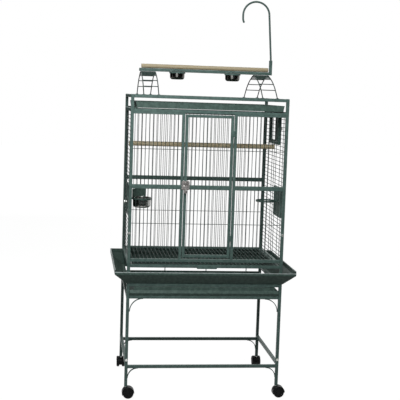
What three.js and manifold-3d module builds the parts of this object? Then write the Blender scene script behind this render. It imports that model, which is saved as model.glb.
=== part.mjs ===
// A play top bird cage on a rolling stand: square tube frame, wire grilles, a front door,
// swing-out feeders, seed skirts, pull-out trays and a perch with ladders on the roof.
// Millimetres, +Z up, +X to the right of someone facing the door, +Y to the back.
// The origin is on the floor, under the middle of the stand.
import * as THREE from 'three';
import { mergeVertices } from 'three/addons/utils/BufferGeometryUtils.js';
import Module from 'manifold-3d';

const wasm = await Module();
wasm.setup();

// Frame
const cageWidth = 813;
const cageDepth = 584;
const cageHeight = 966;
const standHeight = 607;
const tube = 16;
const panelTube = 14.5;
const wire = 3;
const wirePitch = 20.4;
const fit = 0.3;
const overrun = 1;

// Levels between the floor, the stand's top and the cage's top
const legRise = 5.5;
const shelfRise = 97.2;
const trayBay = 80;
const floorRise = 87;
const sillRise = 26;
const deckRise = 71;

// Bars and wires of the walls, from the sill up, from the head rail down or across
const midRailShare = 0.492;
const midRail = 22;
const crossWireRise = 198;
const crossWireDrop = 186;
const uprightShares = [-0.704, 0.07, 0.599];
const roofBar = 10;
const roofDrop = 4;
const backRailDrop = 6;
const kickDrop = 14;
const kickSheet = 2;

// Seed skirts
const skirtSheet = 1.5;
const skirtFlange = 13;
const skirtReachFront = 44;
const skirtReachSide = 64.5;
const skirtRise = 53;
const skirtLipFront = 13;
const skirtLipSide = 26;
const mitreGap = 0.5;

// Stand details
const socketWall = 1.5;
const spigotLength = 30;
const boltRise = 11;
const postBoltRise = 173;
const boltHeadRadius = 5;
const boltHeadHeight = 2.5;
const boltRadius = 2.6;
const boltLength = 12;
const apronBraceReach = 70;
const shelfBraceReach = 54;
const braceThickness = 4;
const braceWidth = 10;
const ledgeReach = 13;
const ledgeThickness = 2.5;
const pegSize = 5;
const pegShares = [-0.402, 0.21, 0.812];

// Casters
const wheelRadius = 28;
const wheelOuter = 23;
const wheelSides = 16;
const casterTrail = 13;
const axleRadius = 4;
const hoodWall = 2.6;
const hoodClearance = 0.8;
const hoodWeb = 13;
const hubRadius = 10;
const hoodStart = 0;
const hoodEnd = 200;
const stemRadius = 4.8;
const stemLength = 26;

// Trays and floor grate
const traySheet = 1.5;
const trayHeightShare = 0.5625;
const trayPull = 8;
const trayFrontShares = [0.3, 0.62, 0.95];
const trayNotch = 24;
const topTrayGap = 9.5;
const topTrayFlare = 5;
const topTrayFootShare = 0.091;
const topTrayHeightShare = 0.545;
const grateBar = 8;
const grateWire = 4;
const grateLedge = 3.5;
const grateDrop = 4;
const handleWidth = 105;
const handleOffset = 6.5;
const handleDrop = 4.5;
const handleSheet = 2;

// Front door, its hinges and lock
const doorLeft = -126.5;
const doorRight = 123;
const doorGapLow = 8.5;
const doorGapHigh = 6;
const jambGap = 3;
const fieldRail = 9;
const hingeRadius = 4.5;
const hingePinRadius = 2;
const hingeKnuckle = 16;
const hingeLeaf = 2.5;
const hingeLeafReach = 12;
const hingeRise = 110;
const hingeDrop = 116;
const pinHeadRadius = 3.6;
const pinHeadHeight = 2;
const lockInset = 8;
const lockSpindle = 3.6;
const lockPlateWidth = 42;
const lockPlateHeight = 46;
const lockPlateRise = 10;
const lockPlate = 3;
const lockBossRadius = 11;
const lockBossHeight = 9;
const lockLobeReach = 31;
const lockLobeRadius = 9;
const lockKnob = 9;
const lockTongueLength = 27;
const lockTongueWidth = 9;
const lockTongue = 3;

// Feeder doors, rings and bowls
const feederInset = 64;
const feederWidth = 174;
const feederRise = 228;
const feederHeight = 158;
const leafBar = 8;
const leafGap = 2;
const pivotRadius = 2;
const pivotLength = 5;
const feederFrameDepth = 10;
const leafSheet = 2;
const ringHeight = 9;
const ringWall = 3;
const ringRadius = 52;
const feederRingRise = 78;
const feederRingGap = 16.5;
const feederRingAlong = 63;
const ringArm = 14;
const guardHeight = 43;
const guardSheet = 1.2;
const guardStart = 62;
const guardEnd = 165;
const bowlDepth = 51;
const bowlSheet = 1.5;
const bowlFoot = 10;
const rimReach = 2.6;

// Turn latches of the side doors
const latchRadius = 2.4;
const latchKnobRadius = 8;
const latchKnob = 7;
const latchNeck = 9;
const feederLatchShare = 0.34;
const nestLatchShare = 0.5;
const latchTongueLength = 14;
const latchTongueWidth = 6;
const latchTongue = 2.5;
const latchPlate = 17;

// Nest box door in the right wall
const nestMiddle = 6;
const nestWidth = 238;
const nestDrop = 158;
const nestBar = 13;
const nestSheetShare = 0.49;

// Play top
const ladderShares = [0.67, 0.861];
const ladderWire = 5.5;
const rungWire = 4.4;
const ladderSteps = 12;
const ladderRise = 121;
const ladderDepthShares = [0, 0.105, 0.206, 0.335, 0.5];
const ladderHeightShares = [0, 0.353, 0.609, 0.832, 1];
const rungDepthShares = [0.105, 0.206, 0.335];
const topRungShare = 0.067;
const topRungPairs = 4;
const ladderFoot = 16;
const ladderFootHeight = 2;
const barShares = [-0.883, 0.916];
const perchShares = [-0.856, 0.863];
const perchRadius = 11.5;
const socketHeight = 63;
const hookRadius = 5.3;
const hookLean = 17;
const hookStraight = 232;
const hookBend = 71.5;
const hookTail = 22;
const hookTip = 16;
const hookFlick = 5;
const crookSteps = 10;
const cupShares = [-0.386, 0.354];
const cupRadius = 39.5;
const cupDepth = 41;
const cupGap = 20.5;
const cupRimHeight = 1;
const cupArm = 12;
const innerPerchRadius = 13;
const innerPerchDrop = 174.5;

// Places worked out from the sizes above
const loose = 2 * fit;
const postX = cageWidth / 2 - tube / 2;
const postY = cageDepth / 2 - tube / 2;
const innerX = postX - tube / 2;
const innerY = postY - tube / 2;
const faceX = cageWidth / 2;
const faceY = cageDepth / 2;
const barEnd = innerX - fit;
const legFoot = 2 * wheelRadius + legRise;
const shelfHeight = legFoot + shelfRise;
const legSplit = shelfHeight + 2 * tube;
const apronHeight = standHeight - trayBay;
const trayFloor = apronHeight + tube + fit;
const trayRoom = trayBay - 2 * tube;
const bodyFoot = standHeight + skirtSheet + loose;
const floorRailHeight = standHeight + floorRise;
const floorTop = floorRailHeight + tube;
const grateFoot = floorRailHeight - grateDrop;
const grateTop = floorTop - grateDrop;
const sillHeight = floorRailHeight + sillRise;
const sillTop = sillHeight + tube;
const cageTop = standHeight + cageHeight;
const deckHeight = cageTop - tube;
const headHeight = deckHeight - deckRise;
const headTop = headHeight + tube;
const midRailHeight = THREE.MathUtils.lerp(sillHeight, headHeight, midRailShare);
const crossWires = [sillHeight + crossWireRise, headHeight - crossWireDrop];
const topTrayRoom = deckRise - tube;
const topTrayFoot = headTop + topTrayFootShare * topTrayRoom;
const postBoltHeight = floorRailHeight + postBoltRise;
const boltHoleRadius = boltRadius + loose;
const wireStep = wire + fit;
const hingeX = doorRight + jambGap / 2;
const hingeY = -postY - panelTube / 2 - hingeRadius - fit;
const hingeHeights = [sillHeight + hingeRise, headHeight - hingeDrop];
const doorLow = sillTop + doorGapLow;
const doorHigh = headHeight - doorGapHigh;
const lockX = doorLeft + lockInset;
const lockBack = -postY - panelTube / 2 - loose;
const lockHole = lockSpindle + loose;
const ladderTop = cageTop + ladderRise;
const barLow = ladderTop + ladderWire / 2 + fit;
const barTop = barLow + tube;
const [barLeft, barRight] = barShares.map((share) => share * postX);
const spigot = tube - 2 * socketWall - loose;

function toSolid(geometry) {
  const bare = geometry.clone();
  bare.deleteAttribute('normal');
  bare.deleteAttribute('uv');
  const merged = mergeVertices(bare, 1e-4);
  const vertProperties = Float32Array.from(merged.attributes.position.array);
  const triVerts = Uint32Array.from(merged.index.array);
  return new wasm.Manifold(new wasm.Mesh({ numProp: 3, vertProperties, triVerts }));
}

function toGeometry(solid) {
  const mesh = solid.getMesh();
  const geometry = new THREE.BufferGeometry();
  geometry.setAttribute('position', new THREE.Float32BufferAttribute(mesh.vertProperties, 3));
  geometry.setIndex(Array.from(mesh.triVerts));
  geometry.computeVertexNormals();
  return geometry;
}

const join = (solids) => solids.reduce((whole, piece) => whole.add(piece));

function box(x0, x1, y0, y1, z0, z1) {
  const geometry = new THREE.BoxGeometry(x1 - x0, y1 - y0, z1 - z0);
  return toSolid(geometry.translate((x0 + x1) / 2, (y0 + y1) / 2, (z0 + z1) / 2));
}

// A round or many-sided rod between two heights, lengths or depths along one axis.
function rod(axis, from, to, radius, sides, [x, y, z]) {
  const geometry = new THREE.CylinderGeometry(radius, radius, to - from, sides);
  const middle = (from + to) / 2;
  if (axis === 'x') geometry.rotateZ(-Math.PI / 2).translate(middle, y, z);
  if (axis === 'y') geometry.translate(x, middle, z);
  if (axis === 'z') geometry.rotateX(Math.PI / 2).translate(x, y, middle);
  return toSolid(geometry);
}

const wireRod = (axis, from, to, place, width = wire) => rod(axis, from, to, width / 2, 4, place);

// Evenly spaced places strictly between two ends, at about the given pitch.
function spread(from, to, pitch) {
  const gaps = Math.max(1, Math.round((to - from) / pitch));
  return Array.from({ length: gaps - 1 }, (_, i) => from + ((i + 1) * (to - from)) / gaps);
}

// A shape pushed straight up, along Y or along X. Its arcs get twice the given segments.
function profileUp(shape, z0, z1, curveSegments = 4) {
  const depth = z1 - z0;
  const geometry = new THREE.ExtrudeGeometry(shape, { depth, curveSegments, bevelEnabled: false });
  return geometry.translate(0, 0, z0);
}

const profileAlongY = (shape, y0, y1, curveSegments) =>
  toSolid(profileUp(shape, -y1, -y0, curveSegments).rotateX(Math.PI / 2));

const profileAlongX = (shape, x0, x1) =>
  toSolid(profileUp(shape, x0, x1).rotateX(Math.PI / 2).rotateZ(Math.PI / 2));

const polygon = (points) => new THREE.Shape(points.map(([u, v]) => new THREE.Vector2(u, v)));

function ringSector(cx, cy, inner, outer, fromDegrees, toDegrees) {
  const from = THREE.MathUtils.degToRad(fromDegrees);
  const to = THREE.MathUtils.degToRad(toDegrees);
  const shape = new THREE.Shape();
  shape.absarc(cx, cy, outer, from, to, false);
  shape.absarc(cx, cy, inner, to, from, true);
  return shape;
}

// A sheet's section: a line of points given a thickness on its left side.
function thickened(points, thickness) {
  const path = points.map(([u, v]) => new THREE.Vector2(u, v));
  const left = (a, b) => new THREE.Vector2(a.y - b.y, b.x - a.x).normalize();
  const inner = path.map((point, i) => {
    const normalIn = left(path[Math.max(i - 1, 0)], path[Math.max(i, 1)]);
    const last = path.length - 1;
    const normalOut = left(path[Math.min(i, last - 1)], path[Math.min(i + 1, last)]);
    const bisector = normalIn.clone().add(normalOut).normalize();
    return point.clone().addScaledVector(bisector, thickness / bisector.dot(normalIn));
  });
  return new THREE.Shape([...path, ...inner.reverse()]);
}

// A solid of revolution about Z through a place, from (radius, height) points on the axis.
function turned(points, sides, [x, y, z]) {
  const profile = points.map(([r, h]) => new THREE.Vector2(r, h));
  const geometry = new THREE.LatheGeometry(profile, sides);
  return toSolid(geometry.rotateX(Math.PI / 2).translate(x, y, z));
}

function ring(inner, outer, low, high, sides, place) {
  const section = [[inner, low], [outer, low], [outer, high], [inner, high], [inner, low]];
  return turned(section, sides, place);
}

// A round rod along points in a flat plane, with one ring of corners at each point.
function bentRod(points, planeNormal, radius, sides) {
  const last = points.length - 1;
  const rings = points.map((point, i) => {
    const inward = point.clone().sub(points[Math.max(i - 1, 0)]).normalize();
    const outward = points[Math.min(i + 1, last)].clone().sub(point).normalize();
    const along = inward.clone().add(outward).normalize();
    const across = along.clone().cross(planeNormal);
    const stretch = i > 0 && i < last ? 1 / along.dot(inward) : 1;
    return Array.from({ length: sides }, (_, k) => {
      const angle = ((k + 0.5) * 2 * Math.PI) / sides;
      return point.clone().addScaledVector(across, radius * stretch * Math.cos(angle))
        .addScaledVector(planeNormal, radius * Math.sin(angle));
    });
  });
  const corners = [...rings.flat(), points[0], points[last]];
  const [foot, tip] = [corners.length - 2, corners.length - 1];
  const index = [];
  for (let k = 0; k < sides; k += 1) {
    const next = (k + 1) % sides;
    index.push(foot, k, next);
    for (let i = 0; i < last; i += 1) {
      const [a, b] = [i * sides + k, i * sides + next];
      index.push(a, a + sides, b, b, a + sides, b + sides);
    }
    index.push(tip, last * sides + next, last * sides + k);
  }
  const geometry = new THREE.BufferGeometry().setFromPoints(corners);
  geometry.setIndex(index);
  return toSolid(geometry);
}

const finishes = {
  frame: { color: 0x5b6b66, roughness: 0.5, metalness: 0.45 },
  wire: { color: 0x55635f, roughness: 0.5, metalness: 0.5 },
  sheet: { color: 0x4f605b, roughness: 0.5, metalness: 0.4 },
  steel: { color: 0x8a8c8c, roughness: 0.25, metalness: 1 },
  zinc: { color: 0xb9bab7, roughness: 0.35, metalness: 1 },
  wood: { color: 0xcbb994, roughness: 0.7, metalness: 0 },
  black: { color: 0x151515, roughness: 0.45, metalness: 0 },
};

// Each piece is drawn in cage coordinates and hung at its own origin, such as its hinge.
function addPiece(parent, name, solid, finish, origin = [0, 0, 0]) {
  const geometry = toGeometry(solid).translate(-origin[0], -origin[1], -origin[2]);
  const material = new THREE.MeshStandardMaterial({ ...finishes[finish], flatShading: true });
  const mesh = new THREE.Mesh(geometry, material);
  mesh.name = name;
  mesh.position.set(...origin);
  parent.add(mesh);
  return mesh;
}

// Stand: short legs with the shelf frame, tall legs above them, beams and rails.
const corners = [
  { name: 'front_left', x: -1, y: -1 },
  { name: 'front_right', x: 1, y: -1 },
  { name: 'back_left', x: -1, y: 1 },
  { name: 'back_right', x: 1, y: 1 },
];

function square(size, x, y, z0, z1) {
  return box(x - size / 2, x + size / 2, y - size / 2, y + size / 2, z0, z1);
}

// A curved strip that ties a leg to the bar above it, bulging into their corner. Its top end
// is sunk into the bar by half its thickness; legGap is its distance from the leg's face.
function cornerBrace(side, y, barUnderside, reach, legGap) {
  const centreX = side * (innerX - legGap - reach);
  const centreZ = barUnderside - reach + braceThickness / 2;
  const angles = side > 0 ? [0, 90] : [90, 180];
  const sector = ringSector(centreX, centreZ, reach - braceThickness, reach, ...angles);
  return profileAlongY(sector, y - braceWidth / 2, y + braceWidth / 2, 3);
}

const boltBore = (x, y, z) => {
  const inward = -Math.sign(y);
  const face = y + Math.sign(y) * (tube / 2 + overrun);
  const deep = face + inward * (boltLength + overrun + loose);
  return rod('y', Math.min(face, deep), Math.max(face, deep), boltHoleRadius, 8, [x, 0, z]);
};

function shelfFrame() {
  const pieces = [];
  for (const { x, y } of corners) {
    const leg = square(tube, x * postX, y * postY, legFoot, legSplit);
    const plug = square(spigot, x * postX, y * postY, legSplit - overrun, legSplit + spigotLength);
    const stem = rod('z', legFoot - overrun, legFoot + stemLength + loose, stemRadius + loose, 12,
      [x * postX, y * postY, 0]);
    const bore = boltBore(x * postX, y * postY, legSplit + boltRise);
    pieces.push(leg.add(plug).subtract(stem).subtract(bore));
    pieces.push(cornerBrace(x, y * postY, shelfHeight, shelfBraceReach, -braceThickness / 2));
  }
  for (const side of [-1, 1]) {
    const y = side * postY;
    pieces.push(box(-postX, postX, y - tube / 2, y + tube / 2, shelfHeight, shelfHeight + tube));
    const x = side * postX;
    pieces.push(box(x - tube / 2, x + tube / 2, -postY, postY, shelfHeight + tube, legSplit));
  }
  return join(pieces);
}

// A strip inside a side rail that a tray or grate slides on, from one distance off the rail's
// inner face to another.
function ledge(side, reach, low, high, sink = overrun) {
  const inner = side * (innerX - reach);
  const outer = side * (innerX + sink);
  return box(Math.min(inner, outer), Math.max(inner, outer), -innerY + fit, innerY - fit, low, high);
}

function standSide(side) {
  const x = side * postX;
  const pieces = [-1, 1].map((end) => {
    const y = end * postY;
    const leg = square(tube, x, y, legSplit + fit, standHeight);
    const socket = square(tube - 2 * socketWall, x, y, legSplit, legSplit + spigotLength + loose);
    return leg.subtract(socket).subtract(boltBore(x, y, legSplit + boltRise));
  });
  for (const low of [apronHeight, standHeight - tube]) {
    pieces.push(box(x - tube / 2, x + tube / 2, -innerY - overrun, innerY + overrun, low, low + tube));
  }
  const runner = apronHeight + tube;
  pieces.push(ledge(side, ledgeReach, runner - ledgeThickness, runner));
  return join(pieces);
}

function standBeam(end) {
  const y = end * postY;
  const beam = box(-barEnd, barEnd, y - tube / 2, y + tube / 2, apronHeight, apronHeight + tube);
  const braces = [-1, 1].map((side) => cornerBrace(side, y, apronHeight, apronBraceReach, fit));
  return join([beam, ...braces]);
}

function standRail(end) {
  const y = end * postY;
  const rail = box(-barEnd, barEnd, y - tube / 2, y + tube / 2, standHeight - tube, standHeight);
  if (end < 0) return rail;
  const pegs = pegShares.map((share) =>
    square(pegSize, share * innerX, y, trayFloor, standHeight - tube + overrun));
  return join([rail, ...pegs]);
}

// A hexagon bolt from the outside of a front or back leg face.
function bolt(x, y, z) {
  const section = [[0, -boltLength], [boltRadius, -boltLength], [boltRadius, fit],
    [boltHeadRadius, fit], [boltHeadRadius, boltHeadHeight], [0, boltHeadHeight]];
  const profile = section.map(([r, h]) => new THREE.Vector2(r, h));
  const geometry = new THREE.LatheGeometry(profile, 6);
  if (y < 0) geometry.rotateX(Math.PI);
  return toSolid(geometry.translate(x, y + Math.sign(y) * tube / 2, z));
}

const stand = new THREE.Group();
addPiece(stand, 'shelf_frame', shelfFrame(), 'frame');
for (const [name, side] of [['left', -1], ['right', 1]]) {
  addPiece(stand, `stand_side_${name}`, standSide(side), 'frame');
}
for (const [name, end] of [['front', -1], ['back', 1]]) {
  addPiece(stand, `stand_beam_${name}`, standBeam(end), 'frame');
  addPiece(stand, `stand_rail_${name}`, standRail(end), 'frame');
}
for (const { name, x, y } of corners) {
  const place = [x * postX, y * postY];
  addPiece(stand, `leg_bolt_${name}`, bolt(...place, legSplit + boltRise), 'zinc');
}

// Casters: a hood with a stem that turns in the leg, and two wheels on one axle. Drawn about
// the stem's axis, with the wheels trailing to +X. The wheels' many sides rest on a flat one.
const wheelCorner = wheelRadius / Math.cos(Math.PI / wheelSides);

function casterHood() {
  const inner = wheelCorner + hoodClearance;
  const outer = inner + hoodWall;
  const half = hoodWeb / 2;
  const axle = [casterTrail, 0, wheelRadius];
  const arc = ringSector(casterTrail, wheelRadius, inner, outer, hoodStart, hoodEnd);
  const fender = profileAlongY(arc, -wheelOuter, wheelOuter);
  const inside = ringSector(casterTrail, wheelRadius, hubRadius, inner + overrun, hoodStart, hoodEnd);
  const web = profileAlongY(inside, -half, half);
  const hub = rod('y', -half, half, hubRadius + overrun, 10, axle);
  const bore = rod('y', -half - overrun, half + overrun, axleRadius + loose, 10, axle);
  const neckFoot = wheelRadius + hubRadius;
  const neck = rod('z', neckFoot, legFoot - fit, half, 10, [0, 0, 0]);
  const stem = rod('z', neckFoot, legFoot + stemLength, stemRadius, 10, [0, 0, 0]);
  return join([fender, web, hub, neck, stem]).subtract(bore);
}

function casterWheels() {
  const wheelInner = hoodWeb / 2 + loose;
  const section = [[0, -wheelOuter], [wheelCorner, -wheelOuter], [wheelCorner, -wheelInner],
    [axleRadius, -wheelInner], [axleRadius, wheelInner], [wheelCorner, wheelInner],
    [wheelCorner, wheelOuter], [0, wheelOuter]];
  const profile = section.map(([r, h]) => new THREE.Vector2(r, h));
  const geometry = new THREE.LatheGeometry(profile, wheelSides);
  geometry.rotateY(Math.PI / wheelSides);
  return toSolid(geometry.translate(casterTrail, 0, wheelRadius));
}

const hoodSolid = casterHood();
const wheelSolid = casterWheels();
for (const { name, x, y } of corners) {
  const caster = new THREE.Group();
  caster.position.set(x * postX, y * postY, 0);
  caster.rotation.z = y > 0 ? Math.PI / 2 : 0;
  addPiece(caster, `caster_hood_${name}`, hoodSolid, 'black');
  addPiece(caster, `caster_wheels_${name}`, wheelSolid, 'black', [casterTrail, 0, wheelRadius]);
  stand.add(caster);
}

// Seed skirts: a flange on the stand's top rail, a slope and an upright lip, lower in front than
// elsewhere. The length at each distance out from the frame follows the corner's mitre.
function skirt(face, reach, end, endReach, lip) {
  const low = standHeight + fit;
  const section = thickened([[-skirtFlange, low], [skirtSheet, low], [reach, low + skirtRise],
    [reach, low + skirtRise + lip]], skirtSheet);
  const geometry = new THREE.ExtrudeGeometry(section, { depth: 1, bevelEnabled: false });
  const position = geometry.attributes.position;
  for (let i = 0; i < position.count; i += 1) {
    const out = position.getX(i);
    const halfLength = end + (out * endReach) / reach - mitreGap;
    const height = position.getY(i);
    position.setXYZ(i, (1 - 2 * position.getZ(i)) * halfLength, -face - out, height);
  }
  return geometry;
}

const skirts = new THREE.Group();
const crossSkirt = (lip) => skirt(faceY, skirtReachFront, faceX, skirtReachSide, lip);
const sideSkirt = () => skirt(faceX, skirtReachSide, faceY, skirtReachFront, skirtLipSide);
addPiece(skirts, 'skirt_front', toSolid(crossSkirt(skirtLipFront)), 'sheet');
addPiece(skirts, 'skirt_back', toSolid(crossSkirt(skirtLipSide).rotateZ(Math.PI)),
  'sheet');
addPiece(skirts, 'skirt_right', toSolid(sideSkirt().rotateZ(Math.PI / 2)), 'sheet');
addPiece(skirts, 'skirt_left', toSolid(sideSkirt().rotateZ(-Math.PI / 2)), 'sheet');

// Trays and the floor grate.
function bottomTray() {
  const low = trayFloor;
  const high = low + trayHeightShare * trayRoom;
  const [pullLow, pullHigh, frontHigh] = trayFrontShares.map((share) => low + share * trayRoom);
  const halfWidth = barEnd - loose;
  const front = -faceY;
  const back = innerY;
  const pan = box(-halfWidth, halfWidth, front, back, low, high);
  const hollow = box(-halfWidth + traySheet, halfWidth - traySheet, front + traySheet,
    back - traySheet, low + traySheet, high + overrun);
  const pull = polygon([[front + traySheet, low], [front, low], [front - trayPull, pullLow],
    [front, pullHigh], [front + traySheet, pullHigh]]);
  const shield = box(-halfWidth + trayNotch, halfWidth - trayNotch, front, front + traySheet,
    high - overrun, frontHigh);
  return join([pan.subtract(hollow), profileAlongX(pull, -halfWidth, halfWidth), shield]);
}

function topTray() {
  const low = topTrayFoot;
  const height = topTrayHeightShare * topTrayRoom;
  const high = low + height;
  const wide = innerX - topTrayGap;
  const narrow = wide - topTrayFlare;
  const pan = polygon([[-narrow, low], [narrow, low], [wide, high], [-wide, high]]);
  const rise = height + overrun;
  const mouth = narrow + (topTrayFlare * rise) / height - traySheet;
  const hollow = polygon([[-narrow + traySheet, low + traySheet], [narrow - traySheet, low + traySheet],
    [mouth, low + rise], [-mouth, low + rise]]);
  return profileAlongY(pan, -faceY, innerY)
    .subtract(profileAlongY(hollow, -faceY + traySheet, innerY - traySheet));
}

function grate() {
  const wide = barEnd - grateBar / 4;
  const back = innerY - loose;
  const low = grateTop - grateBar;
  const front = box(-barEnd, barEnd, -faceY, -innerY, grateFoot, grateTop);
  const sides = [-1, 1].map((side) => {
    const [x0, x1] = side < 0 ? [-wide, -wide + grateBar] : [wide - grateBar, wide];
    return box(x0, x1, -innerY - overrun, back, low, grateTop);
  });
  const rear = box(-wide, wide, back - grateBar, back, low, grateTop);
  const wireHeight = grateTop + grateWire / 3;
  const rods = spread(-innerX, innerX, wirePitch)
    .map((x) => wireRod('y', -postY, back - grateBar / 2, [x, 0, wireHeight], grateWire));
  const cross = wireRod('x', -wide + grateBar / 2, wide - grateBar / 2,
    [0, 0, wireHeight - grateWire - fit], grateWire);
  const pull = box(handleOffset - handleWidth / 2, handleOffset + handleWidth / 2,
    -faceY - handleSheet, -faceY + overrun, grateFoot - handleDrop, grateTop - handleSheet);
  return join([front, ...sides, rear, ...rods, cross, pull]);
}

const drawers = new THREE.Group();
addPiece(drawers, 'bottom_tray', bottomTray(), 'sheet', [0, 0, trayFloor]);
addPiece(drawers, 'top_tray', topTray(), 'sheet', [0, 0, topTrayFoot]);
addPiece(drawers, 'floor_grate', grate(), 'wire', [0, 0, grateTop]);

// Walls. A doorway is a frame of bars laid over the wires and cut out inside.
function withDoorway(solid, x, { front, back, low, high, bar, depth }) {
  const frame = box(x - depth / 2, x + depth / 2, front, back, low, high);
  const hole = box(x - tube, x + tube, front + bar, back - bar, low + bar, high - bar);
  return solid.add(frame).subtract(hole);
}

const feederFront = -postY + feederInset;
const feederLow = sillHeight + feederRise;
const feederWay = {
  front: feederFront, back: feederFront + feederWidth, low: feederLow,
  high: feederLow + feederHeight, bar: leafBar, depth: feederFrameDepth,
};
const nestWay = {
  front: nestMiddle - nestWidth / 2, back: nestMiddle + nestWidth / 2,
  low: headHeight - nestDrop, high: headHeight + nestBar, bar: nestBar, depth: panelTube,
};

// Where a side door's pivots stand: in its stile next to the front or the back jamb.
const pivotInset = (way) => way.bar + leafGap + leafBar / 2;
const pivotAt = {
  front: (way) => way.front + pivotInset(way),
  back: (way) => way.back - pivotInset(way),
};

// The holes for a side door's two pivots, in the doorway's lower and upper bar.
function pivotBores(x, y, way) {
  const depth = pivotLength + fit;
  const low = way.low + way.bar;
  const high = way.high - way.bar;
  return join([[low - depth, low + overrun], [high - overrun, high + depth]]
    .map(([from, to]) => rod('z', from, to, pivotRadius + loose, 6, [x, y, 0])));
}

// The upper tray runs on an angle along the head rail, and the grate on a plain strip.
function sideLedges(side) {
  const grateLow = grateTop - grateBar - fit;
  const trayTop = topTrayFoot - fit;
  const reach = topTrayGap + 2 * topTrayFlare;
  return [
    ledge(side, ledgeReach, grateLow - grateLedge, grateLow),
    ledge(side, reach, trayTop - ledgeThickness, trayTop),
    ledge(side, ledgeThickness, headTop - 2 * overrun, trayTop, 2 * overrun),
  ];
}

function sideWall(side, doorways) {
  const x = side * postX;
  const posts = [-1, 1].map((end) => {
    const post = square(tube, x, end * postY, bodyFoot, cageTop);
    return post.subtract(boltBore(x, end * postY, postBoltHeight));
  });
  const rails = [floorRailHeight, headHeight, deckHeight].map((low) =>
    box(x - tube / 2, x + tube / 2, -innerY - overrun, innerY + overrun, low, low + tube));
  const wires = spread(floorTop, headHeight, wirePitch)
    .map((z) => wireRod('y', -postY, postY, [x, 0, z]));
  const uprights = uprightShares.map((share) => wireRod('z', floorTop - overrun,
    headHeight + overrun, [x + side * wireStep, share * postY, 0]));
  const wall = join([...posts, ...rails, ...wires, ...uprights, ...sideLedges(side)]);
  return doorways.reduce((solid, { way, hinged }) =>
    withDoorway(solid, x, way).subtract(pivotBores(x, pivotAt[hinged](way), way)), wall);
}

// One half of a hinge: a barrel on the pin's axis and the leaf that welds it to its tube,
// which lies to the right or left of the axis.
function hingeHalf(low, edge, side) {
  const high = low + hingeKnuckle;
  const back = -postY - panelTube / 2 + overrun / 2;
  const reach = edge + side * hingeLeafReach;
  const barrel = rod('z', low, high, hingeRadius, 8, [hingeX, hingeY, 0]);
  const leaf = box(Math.min(edge, reach), Math.max(edge, reach), back - hingeLeaf, back, low, high);
  return barrel.add(leaf);
}

function hingeBores() {
  const pinned = 2 * hingeKnuckle + fit;
  return join(hingeHeights.map((low) => rod('z', low - overrun, low + pinned + overrun,
    hingePinRadius + loose, 8, [hingeX, hingeY, 0])));
}

function frontWall() {
  const half = panelTube / 2;
  const [y0, y1] = [-postY - half, -postY + half];
  const jambs = [[doorLeft - jambGap - panelTube, doorLeft - jambGap],
    [doorRight + jambGap, doorRight + jambGap + panelTube]];
  const rails = [[sillHeight, sillTop], [headHeight, headTop]]
    .map(([z0, z1]) => box(-barEnd, barEnd, -faceY, -innerY, z0, z1));
  const posts = jambs.map(([x0, x1]) => box(x0, x1, y0, y1, sillTop - overrun, headHeight + overrun));
  const fields = [[-barEnd, jambs[0][0]], [jambs[1][1], barEnd]].flatMap(([x0, x1]) => [
    ...[[midRailHeight, midRailHeight + midRail], [headHeight - fieldRail, headHeight + overrun]]
      .map(([z0, z1]) => box(x0 - overrun, x1 + overrun, y0, y1, z0, z1)),
    ...spread(x0, x1, wirePitch)
      .map((x) => wireRod('z', sillTop - overrun, headHeight - overrun, [x, -postY, 0])),
    ...crossWires
      .map((z) => wireRod('x', x0 - overrun, x1 + overrun, [0, -postY + wireStep, z])),
  ]);
  const within = box(-barEnd, barEnd, -faceY, -innerY, sillHeight, headTop);
  const halves = hingeHeights.map((low) => hingeHalf(low, jambs[1][0], 1));
  return join([join([...rails, ...posts, ...fields]).intersect(within), ...halves])
    .subtract(hingeBores());
}

// The back wall's lowest rail carries a strip that closes the space behind the drawers.
function backWall() {
  const y = postY;
  const rails = [[floorRailHeight, tube], [midRailHeight - backRailDrop / 2, midRail],
    [headHeight - backRailDrop, tube]].map(([low, tall]) =>
    box(-barEnd, barEnd, y - tube / 2, y + tube / 2, low, low + tall));
  const kick = box(-barEnd, barEnd, faceY - kickSheet, faceY, floorRailHeight - kickDrop,
    floorRailHeight + overrun);
  const wires = spread(-innerX, innerX, wirePitch)
    .map((x) => wireRod('z', floorTop - overrun, headHeight + overrun, [x, y, 0]));
  const uprights = [-barEnd + wire / 2, barEnd - wire / 2]
    .map((x) => wireRod('z', floorTop - overrun, headHeight + overrun, [x, y - wireStep, 0]));
  const crosses = crossWires
    .map((z) => wireRod('x', -barEnd + wire / 2, barEnd - wire / 2, [0, y - wireStep, z]));
  return join([...rails, kick, ...wires, ...uprights, ...crosses]);
}

function roofGrille() {
  const wide = innerX - loose;
  const deep = innerY - loose;
  const low = headHeight - roofDrop;
  const high = low + roofBar;
  const inside = [-wide + roofBar, wide - roofBar, -deep + roofBar, deep - roofBar];
  const frame = box(-wide, wide, -deep, deep, low, high)
    .subtract(box(...inside, low - overrun, high + overrun));
  const z = (low + high) / 2;
  const rods = spread(-wide, wide, wirePitch)
    .map((x) => wireRod('y', -deep + roofBar / 2, deep - roofBar / 2, [x, 0, z]));
  const cross = wireRod('x', -wide + roofBar / 2, wide - roofBar / 2, [0, 0, z - wireStep]);
  return join([frame, ...rods, cross]);
}

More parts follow.
